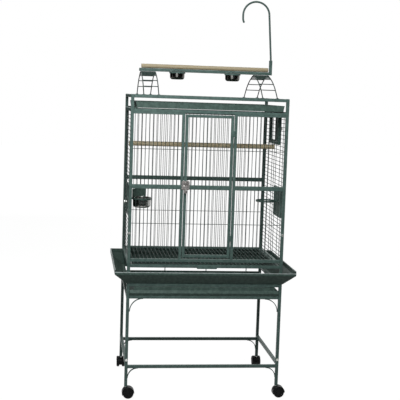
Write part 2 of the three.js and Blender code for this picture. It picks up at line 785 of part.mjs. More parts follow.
const feederDoorway = {
  way: feederWay, hinged: 'front', latchShare: feederLatchShare, sheetShare: 1,
};
const nestDoorway = {
  way: nestWay, hinged: 'back', latchShare: nestLatchShare, sheetShare: nestSheetShare,
};
const cage = new THREE.Group();
addPiece(cage, 'side_wall_left', sideWall(-1, [feederDoorway]), 'frame');
addPiece(cage, 'side_wall_right', sideWall(1, [feederDoorway, nestDoorway]), 'frame');
addPiece(cage, 'front_wall', frontWall(), 'frame');
addPiece(cage, 'back_wall', backWall(), 'frame');
addPiece(cage, 'roof_grille', roofGrille(), 'wire');
for (const { name, x, y } of corners) {
  const place = [x * postX, y * postY];
  addPiece(cage, `post_bolt_${name}`, bolt(...place, postBoltHeight), 'zinc');
}

// Front door with its hinge barrels, pins and turning lock.
const lockZ = midRailHeight + midRail / 2;

function frontDoor() {
  const half = panelTube / 2;
  const [y0, y1] = [-postY - half, -postY + half];
  const [inLeft, inRight] = [doorLeft + panelTube, doorRight - panelTube];
  const frame = box(doorLeft, doorRight, y0, y1, doorLow, doorHigh)
    .subtract(box(inLeft, inRight, y0 - overrun, y1 + overrun, doorLow + panelTube,
      doorHigh - panelTube));
  const rail = box(inLeft - overrun, inRight + overrun, y0, y1, midRailHeight,
    midRailHeight + midRail);
  const wires = spread(inLeft, inRight, wirePitch)
    .map((x) => wireRod('z', doorLow + overrun, doorHigh - overrun, [x, -postY, 0]));
  const crosses = crossWires.map((z) => wireRod('x', inLeft - overrun,
    inRight + overrun, [0, -postY + wireStep, z]));
  const halves = hingeHeights
    .map((low) => hingeHalf(low + hingeKnuckle + fit, doorRight, -1));
  const spindleHole = rod('y', y0 - overrun, y1 + overrun, lockHole, 10, [lockX, 0, lockZ]);
  return join([frame, rail, ...wires, ...crosses, ...halves])
    .subtract(hingeBores()).subtract(spindleHole);
}

function hingePin(low) {
  const foot = low - fit;
  const top = low + 2 * hingeKnuckle + loose;
  return turned([[0, foot - pinHeadHeight], [pinHeadRadius, foot - pinHeadHeight],
    [pinHeadRadius, foot], [hingePinRadius, foot], [hingePinRadius, top], [0, top]], 8,
  [hingeX, hingeY, 0]);
}

function doorLockPlate() {
  const middle = lockZ + lockPlateRise;
  const plate = box(lockX - lockPlateWidth / 2, lockX + lockPlateWidth / 2, lockBack - lockPlate,
    lockBack, middle - lockPlateHeight / 2, middle + lockPlateHeight / 2);
  const boss = rod('y', lockBack - lockBossHeight, lockBack - lockPlate / 2, lockBossRadius, 12,
    [lockX, 0, lockZ]);
  const hole = rod('y', lockBack - lockBossHeight - overrun, lockBack + overrun, lockHole, 10,
    [lockX, 0, lockZ]);
  return plate.add(boss).subtract(hole);
}

// The knob has two lobes in front of the plate and a tongue behind the door. At rest the
// tongue is upright and free; turned a quarter it lies behind the jamb and locks the door.
function doorLockKnob() {
  const knobBack = lockBack - lockBossHeight - fit;
  const knobFront = knobBack - lockKnob;
  const tongueFront = -postY + panelTube / 2 + loose;
  const tongueBack = tongueFront + lockTongue;
  const spindle = rod('y', knobFront + overrun, tongueBack - overrun, lockSpindle, 10,
    [lockX, 0, lockZ]);
  const lobes = [-1, 1].map((way) => rod('y', knobFront, knobBack, lockLobeRadius, 12,
    [lockX, 0, lockZ + way * (lockLobeReach - lockLobeRadius)]));
  const waist = box(lockX - lockLobeRadius / 2, lockX + lockLobeRadius / 2, knobFront, knobBack,
    lockZ - lockLobeReach + lockLobeRadius, lockZ + lockLobeReach - lockLobeRadius);
  const tongue = box(lockX - lockTongueWidth / 2, lockX + lockTongueWidth / 2, tongueFront,
    tongueBack, lockZ - lockTongueWidth / 2, lockZ + lockTongueLength);
  return join([spindle, ...lobes, waist, tongue]);
}

const doorway = new THREE.Group();
const doorHinge = [hingeX, hingeY, 0];
addPiece(doorway, 'front_door', frontDoor(), 'frame', doorHinge);
addPiece(doorway, 'door_hinge_pin_low', hingePin(hingeHeights[0]), 'zinc', doorHinge);
addPiece(doorway, 'door_hinge_pin_high', hingePin(hingeHeights[1]), 'zinc', doorHinge);
addPiece(doorway, 'door_lock_plate', doorLockPlate(), 'steel', doorHinge);
addPiece(doorway, 'door_lock_knob', doorLockKnob(), 'steel', [lockX, -postY, lockZ]);

// Side doors. A leaf fills its doorway, turns on a pivot at each end of one stile and has a
// turn latch by the other, with its spindle through a small block. Sheet closes it from its
// front edge as far as a share of its width, and wires close the rest.
function leafOf(side, { way, hinged, latchShare, sheetShare }) {
  const x = side * postX;
  const half = leafBar / 2;
  const [y0, y1] = [way.front + way.bar + leafGap, way.back - way.bar - leafGap];
  const [z0, z1] = [way.low + way.bar + leafGap, way.high - way.bar - leafGap];
  const frame = box(x - half, x + half, y0, y1, z0, z1)
    .subtract(box(x - leafBar, x + leafBar, y0 + leafBar, y1 - leafBar, z0 + leafBar, z1 - leafBar));
  const sheetEnd = y0 + sheetShare * (y1 - y0) - overrun;
  const sheet = box(x - leafSheet / 2, x + leafSheet / 2, y0 + overrun, sheetEnd, z0 + overrun,
    z1 - overrun);
  const wires = sheetShare < 1 ? spread(z0 + leafBar, z1 - leafBar, wirePitch)
    .map((z) => wireRod('y', sheetEnd - overrun, y1 - half, [x, 0, z])) : [];
  const pivotY = pivotAt[hinged](way);
  const pin = leafGap + pivotLength - fit;
  const pins = [[z0 - pin, z0 + overrun], [z1 - overrun, z1 + pin]]
    .map(([from, to]) => rod('z', from, to, pivotRadius, 6, [x, pivotY, 0]));
  const away = hinged === 'front' ? 1 : -1;
  const latchY = (away > 0 ? y1 : y0) - (away * latchPlate) / 2;
  const latchZ = z0 + latchShare * (z1 - z0);
  const seat = box(x - half, x + half, latchY - latchPlate / 2 + fit, latchY + latchPlate / 2 - fit,
    latchZ - latchPlate / 2, latchZ + latchPlate / 2);
  const bore = rod('x', x - leafBar, x + leafBar, latchRadius + loose, 8, [0, latchY, latchZ]);
  const solid = join([frame, sheet, ...wires, ...pins, seat]);
  return { solid, bore, side, x, y0, y1, z0, z1, pivotY, latchY, latchZ, depth: way.depth };
}

// The latch turns in the leaf: a knob outside, and a tongue inside that clears the jamb.
function latch({ side, x, latchY, latchZ, depth }) {
  const along = (from, to, radius, sides) => {
    const [x0, x1] = [x + side * from, x + side * to].sort((a, b) => a - b);
    return rod('x', x0, x1, radius, sides, [0, latchY, latchZ]);
  };
  const outside = leafBar / 2 + fit;
  const knobFoot = outside + latchNeck;
  const tongueFace = -depth / 2 - loose;
  const tongueBack = tongueFace - latchTongue;
  const spindle = along(tongueBack + overrun, outside + overrun, latchRadius, 8);
  const neck = along(outside, knobFoot + overrun, latchKnobRadius / 2, 8);
  const knob = along(knobFoot, knobFoot + latchKnob, latchKnobRadius, 12);
  const [x0, x1] = [x + side * tongueFace, x + side * tongueBack].sort((a, b) => a - b);
  const tongue = box(x0, x1, latchY - latchTongueWidth / 2, latchY + latchTongueWidth / 2,
    latchZ - latchTongueWidth / 2, latchZ + latchTongueLength);
  return join([spindle, neck, knob, tongue]);
}

const feederRingZ = feederLow + feederRingRise;
const feederRingX = postX - ringRadius - feederRingGap;
const feederRingY = pivotAt.front(feederWay) + feederRingAlong;

// A feeder leaf is all sheet, with a bar across it from which an arm reaches inside to the
// ring that holds the bowl. The guard stands on the ring's back half.
function feederDoor(leaf, withGuard) {
  const { side, x } = leaf;
  const [ringX, ringY, barTopZ] = [side * feederRingX, feederRingY, feederRingZ + ringHeight];
  const bar = box(x - leafBar / 2, x + leafBar / 2, leaf.y0 + overrun, leaf.y1 - overrun,
    feederRingZ, barTopZ);
  const holder = ring(ringRadius - ringWall, ringRadius, 0, ringHeight, 16,
    [ringX, ringY, feederRingZ]);
  const armInner = side * (feederRingX + ringRadius - ringWall / 2);
  const arm = box(Math.min(x, armInner), Math.max(x, armInner), ringY - ringArm / 2,
    ringY + ringArm / 2, feederRingZ, barTopZ);
  const pieces = [leaf.solid, bar, holder, arm];
  if (withGuard) {
    const arc = ringSector(ringX, ringY, ringRadius - guardSheet, ringRadius, guardStart, guardEnd);
    pieces.push(toSolid(profileUp(arc, barTopZ - overrun, barTopZ + guardHeight, 6)));
  }
  return join(pieces).subtract(leaf.bore);
}

// A pressed bowl, drawn with its rim's underside at height 0.
function bowl(radius, depth, place) {
  const section = [[0, -depth], [radius - bowlFoot, -depth], [radius, -depth + bowlFoot],
    [radius, 0], [radius + rimReach, 0], [radius + rimReach, bowlSheet],
    [radius - bowlSheet, bowlSheet], [radius - bowlSheet, -depth + bowlFoot],
    [radius - bowlFoot, -depth + bowlSheet], [0, -depth + bowlSheet]];
  return turned(section, 16, place);
}

const feeders = new THREE.Group();
for (const [name, side] of [['left', -1], ['right', 1]]) {
  const leaf = leafOf(side, feederDoorway);
  const hinge = [leaf.x, leaf.pivotY, 0];
  addPiece(feeders, `feeder_door_${name}`, feederDoor(leaf, side < 0), 'frame', hinge);
  addPiece(feeders, `feeder_latch_${name}`, latch(leaf), 'zinc', [leaf.x, leaf.latchY, leaf.latchZ]);
}
const bowlPlace = [-feederRingX, feederRingY, feederRingZ + ringHeight + fit];
const bowlRadius = ringRadius - 1.5 * ringWall;
addPiece(feeders, 'feeder_bowl_left', bowl(bowlRadius, bowlDepth, bowlPlace), 'steel', bowlPlace);

const nestLeaf = leafOf(1, nestDoorway);
const nestHinge = [nestLeaf.x, nestLeaf.pivotY, 0];
addPiece(feeders, 'nest_door', nestLeaf.solid.subtract(nestLeaf.bore), 'frame', nestHinge);
addPiece(feeders, 'nest_latch', latch(nestLeaf), 'zinc',
  [nestLeaf.x, nestLeaf.latchY, nestLeaf.latchZ]);

// The perch inside the cage spans from wire to wire.
const innerPerchEnd = postX - wire / 2 - fit;
addPiece(cage, 'inner_perch', rod('x', -innerPerchEnd, innerPerchEnd, innerPerchRadius, 12,
  [0, 0, headHeight - innerPerchDrop]), 'wood');

// Play top: beams across the posts, two arched ladders, the perch and what hangs on it.
const archShares = ladderDepthShares.map((depth, i) => ({ depth, height: ladderHeightShares[i] }));
const backShares = archShares.slice(0, -1).reverse()
  .map(({ depth, height }) => ({ depth: 1 - depth, height }));
const ladderFootZ = cageTop + fit;
const arch = new THREE.CatmullRomCurve3([...archShares, ...backShares].map(({ depth, height }) =>
  new THREE.Vector3(0, (2 * depth - 1) * postY, ladderFootZ + height * (ladderTop - ladderFootZ))));
const archPoints = arch.getPoints(ladderSteps);

// The height of a ladder's rails at one depth, between the two arch points around it.
function archHeight(y) {
  const next = archPoints.findIndex((point) => point.y > y);
  const [a, b] = [archPoints[next - 1], archPoints[next]];
  return THREE.MathUtils.mapLinear(y, a.y, b.y, a.z, b.z);
}

function ladder(side) {
  const [x0, x1] = ladderShares.map((share) => side * share * postX).sort((a, b) => a - b);
  const sideways = new THREE.Vector3(1, 0, 0);
  const rails = [x0, x1].map((x) => {
    const points = archPoints.map((point) => new THREE.Vector3(x, point.y, point.z));
    return bentRod(points, sideways, ladderWire / 2, 6);
  });
  const feet = [x0, x1].flatMap((x) => [-postY, postY].map((y) => box(x - ladderFoot / 2,
    x + ladderFoot / 2, y - tube / 2, y + tube / 2, ladderFootZ, ladderFootZ + ladderFootHeight)));
  const low = rungDepthShares.flatMap((share) => [(2 * share - 1) * postY, (1 - 2 * share) * postY]);
  const high = Array.from({ length: 2 * topRungPairs + 1 }, (_, i) =>
    (i - topRungPairs) * topRungShare * postY);
  const rungs = [...low, ...high].map((y) => wireRod('x', x0, x1, [0, y, archHeight(y)], rungWire));
  const deck = box(x0 - tube, x1 + tube, -faceY - tube, faceY + tube, ladderFootZ - tube, ladderFootZ);
  return join([...rails, ...feet, ...rungs]).subtract(deck);
}

function perchBar() {
  const half = tube / 2;
  const bar = box(barLeft, barRight, -half, half, barLow, barTop);
  const socket = box(barRight - tube, barRight, -half, half, barTop - overrun, barTop + socketHeight);
  const hole = rod('z', barTop + loose, barTop + socketHeight + overrun, hookRadius + loose, 12,
    [barRight - half, 0, 0]);
  return bar.add(socket).subtract(hole);
}

// The toy hook: straight in its socket, then a long slightly leaning rod and a round crook.
function toyHook() {
  const x = barRight - tube / 2;
  const mouth = barTop + socketHeight + hookRadius;
  const bendX = x - hookLean;
  const bendZ = mouth + hookStraight;
  const crook = Array.from({ length: crookSteps + 1 }, (_, i) => {
    const angle = (i * Math.PI) / crookSteps;
    return [bendX - hookBend * (1 - Math.cos(angle)), bendZ + hookBend * Math.sin(angle)];
  });
  const farX = bendX - 2 * hookBend;
  const run = [[x, barTop + 3 * fit], [x, mouth], ...crook, [farX, bendZ - hookTail],
    [farX + hookFlick, bendZ - hookTail - hookTip]];
  return bentRod(run.map(([px, pz]) => new THREE.Vector3(px, 0, pz)), new THREE.Vector3(0, 1, 0),
    hookRadius, 8);
}

const cupAcross = cupRadius + cupGap;

function cupHolder(x) {
  const half = tube / 2;
  const high = barLow + cupRimHeight;
  const low = high - ringHeight;
  const y = -cupAcross;
  const inner = cupRadius + fit;
  const holder = ring(inner, inner + ringWall, 0, ringHeight, 16, [x, y, low]);
  const arm = box(x - cupArm / 2, x + cupArm / 2, y + inner + ringWall / 2, -half - fit, low, high);
  const plate = box(x - cupArm, x + cupArm, -half - fit - ringWall, -half - fit, low, barTop);
  return join([holder, arm, plate]);
}

const playTop = new THREE.Group();
for (const [name, end] of [['front', -1], ['back', 1]]) {
  const y = end * postY;
  addPiece(playTop, `deck_beam_${name}`,
    box(-barEnd, barEnd, y - tube / 2, y + tube / 2, deckHeight, cageTop), 'frame');
}
for (const [name, side] of [['left', -1], ['right', 1]]) {
  addPiece(playTop, `ladder_${name}`, ladder(side), 'wire', [0, 0, cageTop]);
}
addPiece(playTop, 'perch_bar', perchBar(), 'frame', [0, 0, barLow]);
const [perchLeft, perchRight] = perchShares.map((share) => share * postX);
const topPerch = rod('x', perchLeft, perchRight, perchRadius, 12,
  [0, 0, barTop + fit + perchRadius]);
addPiece(playTop, 'top_perch', topPerch, 'wood', [0, 0, barTop]);
addPiece(playTop, 'toy_hook', toyHook(), 'frame', [barRight - tube / 2, 0, barTop]);
for (const [name, share] of [['left', cupShares[0]], ['right', cupShares[1]]]) {
  const x = share * postX;
  const place = [x, -cupAcross, barLow + cupRimHeight + fit];
  addPiece(playTop, `cup_holder_${name}`, cupHolder(x), 'frame', place);
  addPiece(playTop, `cup_${name}`, bowl(cupRadius - fit, cupDepth, place), 'steel', place);
}

const birdCage = new THREE.Group();
birdCage.name = 'play_top_bird_cage';
birdCage.add(stand, skirts, drawers, cage, doorway, feeders, playTop);

export default birdCage;
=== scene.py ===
"""Looks of the play top bird cage: round wires, rounded tubes, welds, pressed bowls, casters,
painted steel, wood and plastic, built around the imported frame. Sizes are in millimetres and
turned into metres when a piece is made."""

from math import cos, hypot, pi, radians, sin

import bmesh
import bpy
from mathutils import Matrix, Vector


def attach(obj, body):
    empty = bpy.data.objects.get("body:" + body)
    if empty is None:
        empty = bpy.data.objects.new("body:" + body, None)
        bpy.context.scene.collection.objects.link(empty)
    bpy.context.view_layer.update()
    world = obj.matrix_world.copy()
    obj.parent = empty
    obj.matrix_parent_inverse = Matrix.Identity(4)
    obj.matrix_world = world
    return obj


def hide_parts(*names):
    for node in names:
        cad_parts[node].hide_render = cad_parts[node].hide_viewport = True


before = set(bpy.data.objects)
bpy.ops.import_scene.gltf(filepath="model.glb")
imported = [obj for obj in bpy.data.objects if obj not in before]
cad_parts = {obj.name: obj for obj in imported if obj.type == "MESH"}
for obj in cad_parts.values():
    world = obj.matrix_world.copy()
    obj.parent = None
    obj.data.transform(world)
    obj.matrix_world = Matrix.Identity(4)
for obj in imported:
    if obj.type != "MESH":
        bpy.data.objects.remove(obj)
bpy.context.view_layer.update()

MM = 0.001
SIDES, ENDS = (("left", -1), ("right", 1)), (("front", -1), ("back", 1))
CORNERS = [(f"{end}_{side}", x, y) for end, y in ENDS for side, x in SIDES]

# Sizes of the cage: X and Y are those of a piece's middle and heights those of its underside,
# unless the name says otherwise.
TUBE, PANEL, LEAF_BAR, SHEET = 16, 14.5, 8, 1.5
PITCH, WIRE_RADIUS, CROSS_STEP, FIT = 20.4, 1.5, 2.8, 0.3
HALF = TUBE / 2
POST_X, POST_Y = 398.5, 284
INNER_X, INNER_Y = POST_X - HALF, POST_Y - HALF
FACE_X, FACE_Y = POST_X + HALF, POST_Y + HALF
BAR_END, LEDGE_END = INNER_X - FIT, INNER_Y - FIT
LEG_FOOT, SHELF, APRON, STAND_TOP = 61.5, 158.7, 527, 607
LEG_SPLIT = SHELF + 2 * TUBE
TRAY_FLOOR, TRAY_HEIGHT, TRAY_SHIELD = APRON + TUBE + FIT, 27, 45.6
SKIRT_RISE, SKIRT_REACH_X, SKIRT_REACH_Y, SKIRT_CORNER = 53, 64.5, 44, 0.5
LOW_LIP, HIGH_LIP, HEM_RADIUS = 13, 26, 2.5
BODY_FOOT, FLOOR_RAIL, FLOOR_TOP = 609.1, 694, 710
GRATE_FOOT, GRATE_TOP, GRATE_ROD = 690, 706, 2
TOP_TRAY_LOW, TOP_TRAY_HIGH, TOP_TRAY_HALF, TOP_TRAY_FLARE = 1507.005, 1536.98, 376, 5
ROOF_LOW, ROOF_BAR = 1482, 10
SILL, SILL_TOP, HEAD = 720, 736, 1486
MID_RAIL, MID_TALL = 1096.872, 22
DECK, CAGE_TOP = 1557, 1573
CROSS_WIRES = (918, 1300)
UPRIGHTS = (-199.9, 19.9, 170.1)
DOOR_LEFT, DOOR_RIGHT, DOOR_LOW, DOOR_TOP, JAMB_GAP = -126.5, 123, 744.5, 1480, 3
PANEL_FRONT, PANEL_BACK = -POST_Y - PANEL / 2, -POST_Y + PANEL / 2
HINGE_X, HINGE_Y, HINGE_LEVELS = 124.5, -296.05, (830, 1370)
LOCK_X, LOCK_Z = -118.5, MID_RAIL + MID_TALL / 2
RING_X, RING_Y, RING_LOW, RING_TALL = 330, -143, 1026, 9
RING_TOP, RING_INNER, RING_OUTER = RING_LOW + RING_TALL, 49, 52
FEEDER_LATCH_Y, FEEDER_LATCH_Z, FEEDER_PIVOT_Y = -64.5, 1004.92, -206
NEST_LATCH_Y, NEST_LATCH_Z, NEST_PIVOT_Y, NEST_SHEET_SHARE = -89.5, 1413.5, 106, 0.49
GUARD_START, GUARD_END, GUARD_HEIGHT = 62, 165, 43
LADDER_INNER, LADDER_OUTER, LADDER_ROD = 267, 343.1, 2.75
BAR_LEFT, BAR_RIGHT, BAR_LOW, BAR_TOP = -351.9, 365.03, 1697.05, 1713.05
SOCKET_TALL, HOOK_ROD, HOOK_BEND = 63, 5.2, 71.5
CUPS = (("left", -153.8), ("right", 141.07))
CUP_Y, CUP_RING_INNER, CUP_RING_OUTER = -60, 39.8, 42.8
BOWL_RADIUS, BOWL_DEPTH, CUP_RADIUS, CUP_DEPTH = 47.5, 51, 39.2, 41
TOP_PERCH_LEFT, TOP_PERCH_RIGHT, TOP_PERCH_RADIUS = -341.1, 343.9, 11.5
PERCH_END, PERCH_RADIUS, PERCH_MIDDLE = 396.7, 13, 1311.5
POST_BOLT, RAIL_UPRIGHTS = 867, (-157, 82, 317.1)


# The camera stands where the photograph was taken from.
def place_camera():
    yaw, pitch, roll = 0.1288, -0.1098, 0.0328
    forward = Vector((sin(yaw) * cos(pitch), cos(yaw) * cos(pitch), sin(pitch)))
    level = Vector((cos(yaw), -sin(yaw), 0))
    upright = level.cross(forward)
    right = cos(roll) * level + sin(roll) * upright
    up = cos(roll) * upright - sin(roll) * level
    data = bpy.data.cameras.new("camera")
    data.sensor_width = 36
    data.lens = 86.64
    data.clip_end = 60
    camera = bpy.data.objects.new("camera", data)
    bpy.context.scene.collection.objects.link(camera)
    place = Vector((-0.672, -5.163, 1.586))
    rows = [(right[i], up[i], -forward[i], place[i]) for i in range(3)]
    camera.matrix_world = Matrix([*rows, (0, 0, 0, 1)])
    bpy.context.scene.camera = camera


place_camera()


# Shapes. A form gathers corners and faces; the functions below add closed shells to it.
class Form:
    def __init__(self):
        self.corners = []
        self.faces = []

    def loft(self, rings, closed=False):
        """Joins rings of corners; the ends get flat caps unless the rings close on themselves."""
        base, count, last = len(self.corners), len(rings[0]), len(rings)
        for ring in rings:
            self.corners.extend(ring)
        for i in range(last if closed else last - 1):
            a, b = base + i * count, base + ((i + 1) % last) * count
            for k in range(count):
                n = (k + 1) % count
                self.faces.append((a + k, a + n, b + n, b + k))
        if not closed:
            self.faces.append(tuple(base + k for k in reversed(range(count))))
            self.faces.append(tuple(base + (last - 1) * count + k for k in range(count)))


PLACE = {
    "x": lambda u, v, t: (t, u, v),
    "y": lambda u, v, t: (u, t, v),
    "z": lambda u, v, t: (u, v, t),
}


def rounded(width, depth, radius, steps=3):
    """A rounded rectangle about (0, 0)."""
    points = []
    for side_u, side_v, start in ((1, 1, 0), (-1, 1, 90), (-1, -1, 180), (1, -1, 270)):
        for i in range(steps + 1):
            angle = radians(start + 90 * i / steps)
            points.append((side_u * (width / 2 - radius) + radius * cos(angle),
                           side_v * (depth / 2 - radius) + radius * sin(angle)))
    return points


def bar(form, axis, start, end, u0, u1, v0, v1, radius=1.9, chamfer=0.5, steps=3):
    """A bar along an axis with rounded long edges. u and v are the other two axes in order."""
    place = PLACE[axis]
    width, depth = abs(u1 - u0), abs(v1 - v0)
    middle_u, middle_v = (u0 + u1) / 2, (v0 + v1) / 2
    start, end = min(start, end), max(start, end)

    def ring(t, inset):
        corner = max(radius - inset, 0.15)
        return [place(middle_u + u, middle_v + v, t)
                for u, v in rounded(width - 2 * inset, depth - 2 * inset, corner, steps)]

    form.loft([ring(start, chamfer), ring(start + chamfer, 0), ring(end - chamfer, 0),
               ring(end, chamfer)])


def tube(form, axis, start, end, u, v, size=TUBE, **more):
    """A square tube centred on (u, v)."""
    half = size / 2
    bar(form, axis, start, end, u - half, u + half, v - half, v + half, **more)


def across(direction):
    """Two unit vectors square to a direction."""
    side = Vector((0, 0, 1)) if abs(direction.z) < 0.9 else Vector((1, 0, 0))
    u = direction.cross(side).normalized()
    return u, direction.cross(u).normalized()


def circle(centre, u, v, radius, sides):
    return [tuple(centre + radius * (cos(a) * u + sin(a) * v))
            for a in (2 * pi * k / sides for k in range(sides))]


def rod(form, start, end, radius, sides=10, chamfer=0.0):
    start, end = Vector(start), Vector(end)
    along = (end - start).normalized()
    u, v = across(along)
    rings = [circle(start, u, v, radius - chamfer, sides)]
    if chamfer:
        rings.append(circle(start + chamfer * along, u, v, radius, sides))
        rings.append(circle(end - chamfer * along, u, v, radius, sides))
    rings.append(circle(end, u, v, radius - chamfer, sides))
    form.loft(rings)


def sweep(form, points, radius, sides=10, closed=False, round_end=False):
    """A round rod along points. A round end gets smaller rings that close it like a dome."""
    points = [Vector(p) for p in points]
    count = len(points)
    u, rings = None, []
    for i, point in enumerate(points):
        before = points[i - 1] if closed or i else point
        after = points[(i + 1) % count] if closed or i < count - 1 else point
        along = (after - before).normalized()
        if u is None:
            u = across(along)[0]
        u = (u - u.dot(along) * along).normalized()
        v = along.cross(u)
        rings.append(circle(point, u, v, radius, sides))
    if round_end:
        tip, along = points[-1], (points[-1] - points[-2]).normalized()
        for angle in (30, 55, 75):
            reach = radius * sin(radians(angle))
            small = radius * cos(radians(angle))
            rings.append(circle(tip + reach * along, u, v, small, sides))
    form.loft(rings, closed)


def lathe(form, profile, centre, axis="z", sides=48, closed=False):
    """A shape of revolution from (radius, height) points. It is capped flat at both ends."""
    place = PLACE[axis]
    cx, cy, cz = centre
    rings = []
    for radius, height in profile:
        ring = []
        for k in range(sides):
            angle = 2 * pi * k / sides
            x, y, z = place(radius * cos(angle), radius * sin(angle), height)
            ring.append((cx + x, cy + y, cz + z))
        rings.append(ring)
    form.loft(rings, closed)


def prism(form, axis, start, end, outline):
    place = PLACE[axis]
    form.loft([[place(u, v, t) for u, v in outline] for t in (start, end)])


def sector(centre, inner, outer, first, last, steps):
    """A ring sector's outline."""
    angles = [radians(first + (last - first) * i / steps) for i in range(steps + 1)]
    arc = [(outer, a) for a in angles] + [(inner, a) for a in reversed(angles)]
    return [(centre[0] + r * cos(a), centre[1] + r * sin(a)) for r, a in arc]


def weld(form, axis, at, u0, u1, v0, v1, radius=0.9):
    """A bead of weld round a bar's end."""
    place = PLACE[axis]
    points = []
    outline = rounded(u1 - u0, v1 - v0, 2, 2)
    for i, (u, v) in enumerate(outline):
        next_u, next_v = outline[(i + 1) % len(outline)]
        pieces = max(1, round(hypot(next_u - u, next_v - v) / 3))
        for k in range(pieces):
            share = k / pieces
            points.append(place((u0 + u1) / 2 + u + share * (next_u - u),
                                (v0 + v1) / 2 + v + share * (next_v - v), at))
    sweep(form, points, radius, 6, closed=True)


def welded_tube(form, axis, reach, u, v):
    """A square tube from one side of the cage to the other with a bead of weld at both ends."""
    tube(form, axis, -reach, reach, u, v)
    for end in (-reach, reach):
        weld(form, axis, end, u - HALF, u + HALF, v - HALF, v + HALF)


def flat_ring(form, inner, outer, place, sides):
    """A flat ring with broken edges, its underside at the given place."""
    edge, tall = 0.8, RING_TALL
    section = [(inner, edge), (inner + edge, 0), (outer - edge, 0), (outer, edge),
               (outer, tall - edge), (outer - edge, tall), (inner + edge, tall),
               (inner, tall - edge)]
    lathe(form, section, place, "z", sides, closed=True)


def spread(start, end):
    """Even places between two ends, about one pitch apart."""
    gaps = max(1, round((end - start) / PITCH))
    return [start + (i + 1) * (end - start) / gaps for i in range(gaps - 1)]


def rounded_path(points, radius, steps=4):
    """A line of 2-D points with its inner corners rounded."""
    path = [Vector(points[0])]
    for before, corner, after in zip(points, points[1:], points[2:]):
        corner = Vector(corner)
        back = (Vector(before) - corner).normalized()
        onward = (Vector(after) - corner).normalized()
        start, end = corner + radius * back, corner + radius * onward
        for i in range(steps + 1):
            t = i / steps
            path.append((1 - t) ** 2 * start + 2 * t * (1 - t) * corner + t * t * end)
    path.append(Vector(points[-1]))
    return path


def thick(path, thickness):
    """The outline of a sheet whose one side follows a path; the other is on its left."""
    left = []
    for i, point in enumerate(path):
        after, before = path[min(i + 1, len(path) - 1)], path[max(i - 1, 0)]
        along = (after - before).normalized()
        left.append(point + thickness * Vector((-along.y, along.x)))
    return [tuple(p) for p in path] + [tuple(p) for p in reversed(left)]


def make(form, body, coat, node, kind="", stands=True, sharp=38):
    """Turns a form into a piece that rides on a body. Unless told otherwise it stands for the
    CAD node that it is named after."""
    name = f"{node}_{kind}" if kind else node
    slot, material = coat
    mesh = bpy.data.meshes.new(name)
    mesh.from_pydata([tuple(MM * c for c in corner) for corner in form.corners], [], form.faces)
    work = bmesh.new()
    work.from_mesh(mesh)
    bmesh.ops.recalc_face_normals(work, faces=work.faces)
    work.to_mesh(mesh)
    work.free()
    mesh.shade_smooth()
    mesh.set_sharp_from_angle(angle=radians(sharp))
    mesh.materials.append(material)
    piece = bpy.data.objects.new(name, mesh)
    bpy.context.scene.collection.objects.link(piece)
    even = piece.modifiers.new("even_normals", "WEIGHTED_NORMAL")
    even.keep_sharp = True
    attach(piece, body)
    if stands:
        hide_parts(node)


# Materials
def add(tree, kind, inputs, output=0, **settings):
    """A node with its inputs linked to other nodes' outputs or set to values."""
    node = tree.nodes.new(kind)
    for key, value in settings.items():
        setattr(node, key, value)
    fill(tree, node, inputs)
    return node.outputs[output]


def fill(tree, node, inputs):
    for key, value in inputs.items():
        if hasattr(value, "is_output"):
            tree.links.new(value, node.inputs[key])
        else:
            node.inputs[key].default_value = value


class Paper:
    """Short calls for building one material's nodes."""

    def __init__(self, name):
        self.material = bpy.data.materials.new(name)
        self.material.use_nodes = True
        self.tree = self.material.node_tree
        self.shader = self.tree.nodes["Principled BSDF"]
        self.coords = self.add("ShaderNodeTexCoord", {}, "Object")

    def add(self, kind, inputs, output=0, **settings):
        return add(self.tree, kind, inputs, output, **settings)

    def stretched(self, *scale):
        return self.add("ShaderNodeMapping", {"Vector": self.coords, "Scale": scale})

    def noise(self, scale, detail=3.0, rough=0.55, coords=None, distortion=0.0):
        return self.add("ShaderNodeTexNoise", {
            "Vector": coords or self.coords, "Scale": scale, "Detail": detail,
            "Roughness": rough, "Distortion": distortion}, "Fac")

    def cells(self, scale):
        return self.add("ShaderNodeTexVoronoi", {"Vector": self.coords, "Scale": scale},
                        "Distance", feature="SMOOTH_F1")

    def fit(self, value, low, high, to_low=0.0, to_high=1.0):
        return self.add("ShaderNodeMapRange", {
            "Value": value, "From Min": low, "From Max": high, "To Min": to_low,
            "To Max": to_high}, "Result", interpolation_type="SMOOTHSTEP")

    def times(self, a, b):
        return self.add("ShaderNodeMath", {0: a, 1: b}, operation="MULTIPLY")

    def plus(self, a, b):
        return self.add("ShaderNodeMath", {0: a, 1: b}, operation="ADD")

    def mix(self, share, a, b):
        return self.add("ShaderNodeMix", {"Factor": share, "A": a, "B": b}, "Result",
                        data_type="RGBA")

    def edges(self, low=0.52, high=0.6):
        """How sharp the surface is at a point, for paler edges: wear, and in the hammered paint
        also a painted highlight.
        """
        return self.fit(self.add("ShaderNodeNewGeometry", {}, "Pointiness"), low, high)

    def upward(self):
        """1 on faces that look up, where dust settles."""
        normal = self.add("ShaderNodeNewGeometry", {}, "Normal")
        return self.fit(self.add("ShaderNodeSeparateXYZ", {"Vector": normal}, "Z"), 0.6, 1)

    def bump(self, height, distance, under=None):
        inputs = {"Distance": distance, "Height": height}
        if under is not None:
            inputs["Normal"] = under
        return self.add("ShaderNodeBump", inputs, "Normal")

    def finish(self, colour, roughness, normal, **fixed):
        fill(self.tree, self.shader, {"Base Color": colour, "Roughness": roughness,
                                      "Normal": normal})
        for key, value in fixed.items():
            self.shader.inputs[key.replace("_", " ")].default_value = value
        return self.material


def rgb(*values):
    return (*values, 1.0)


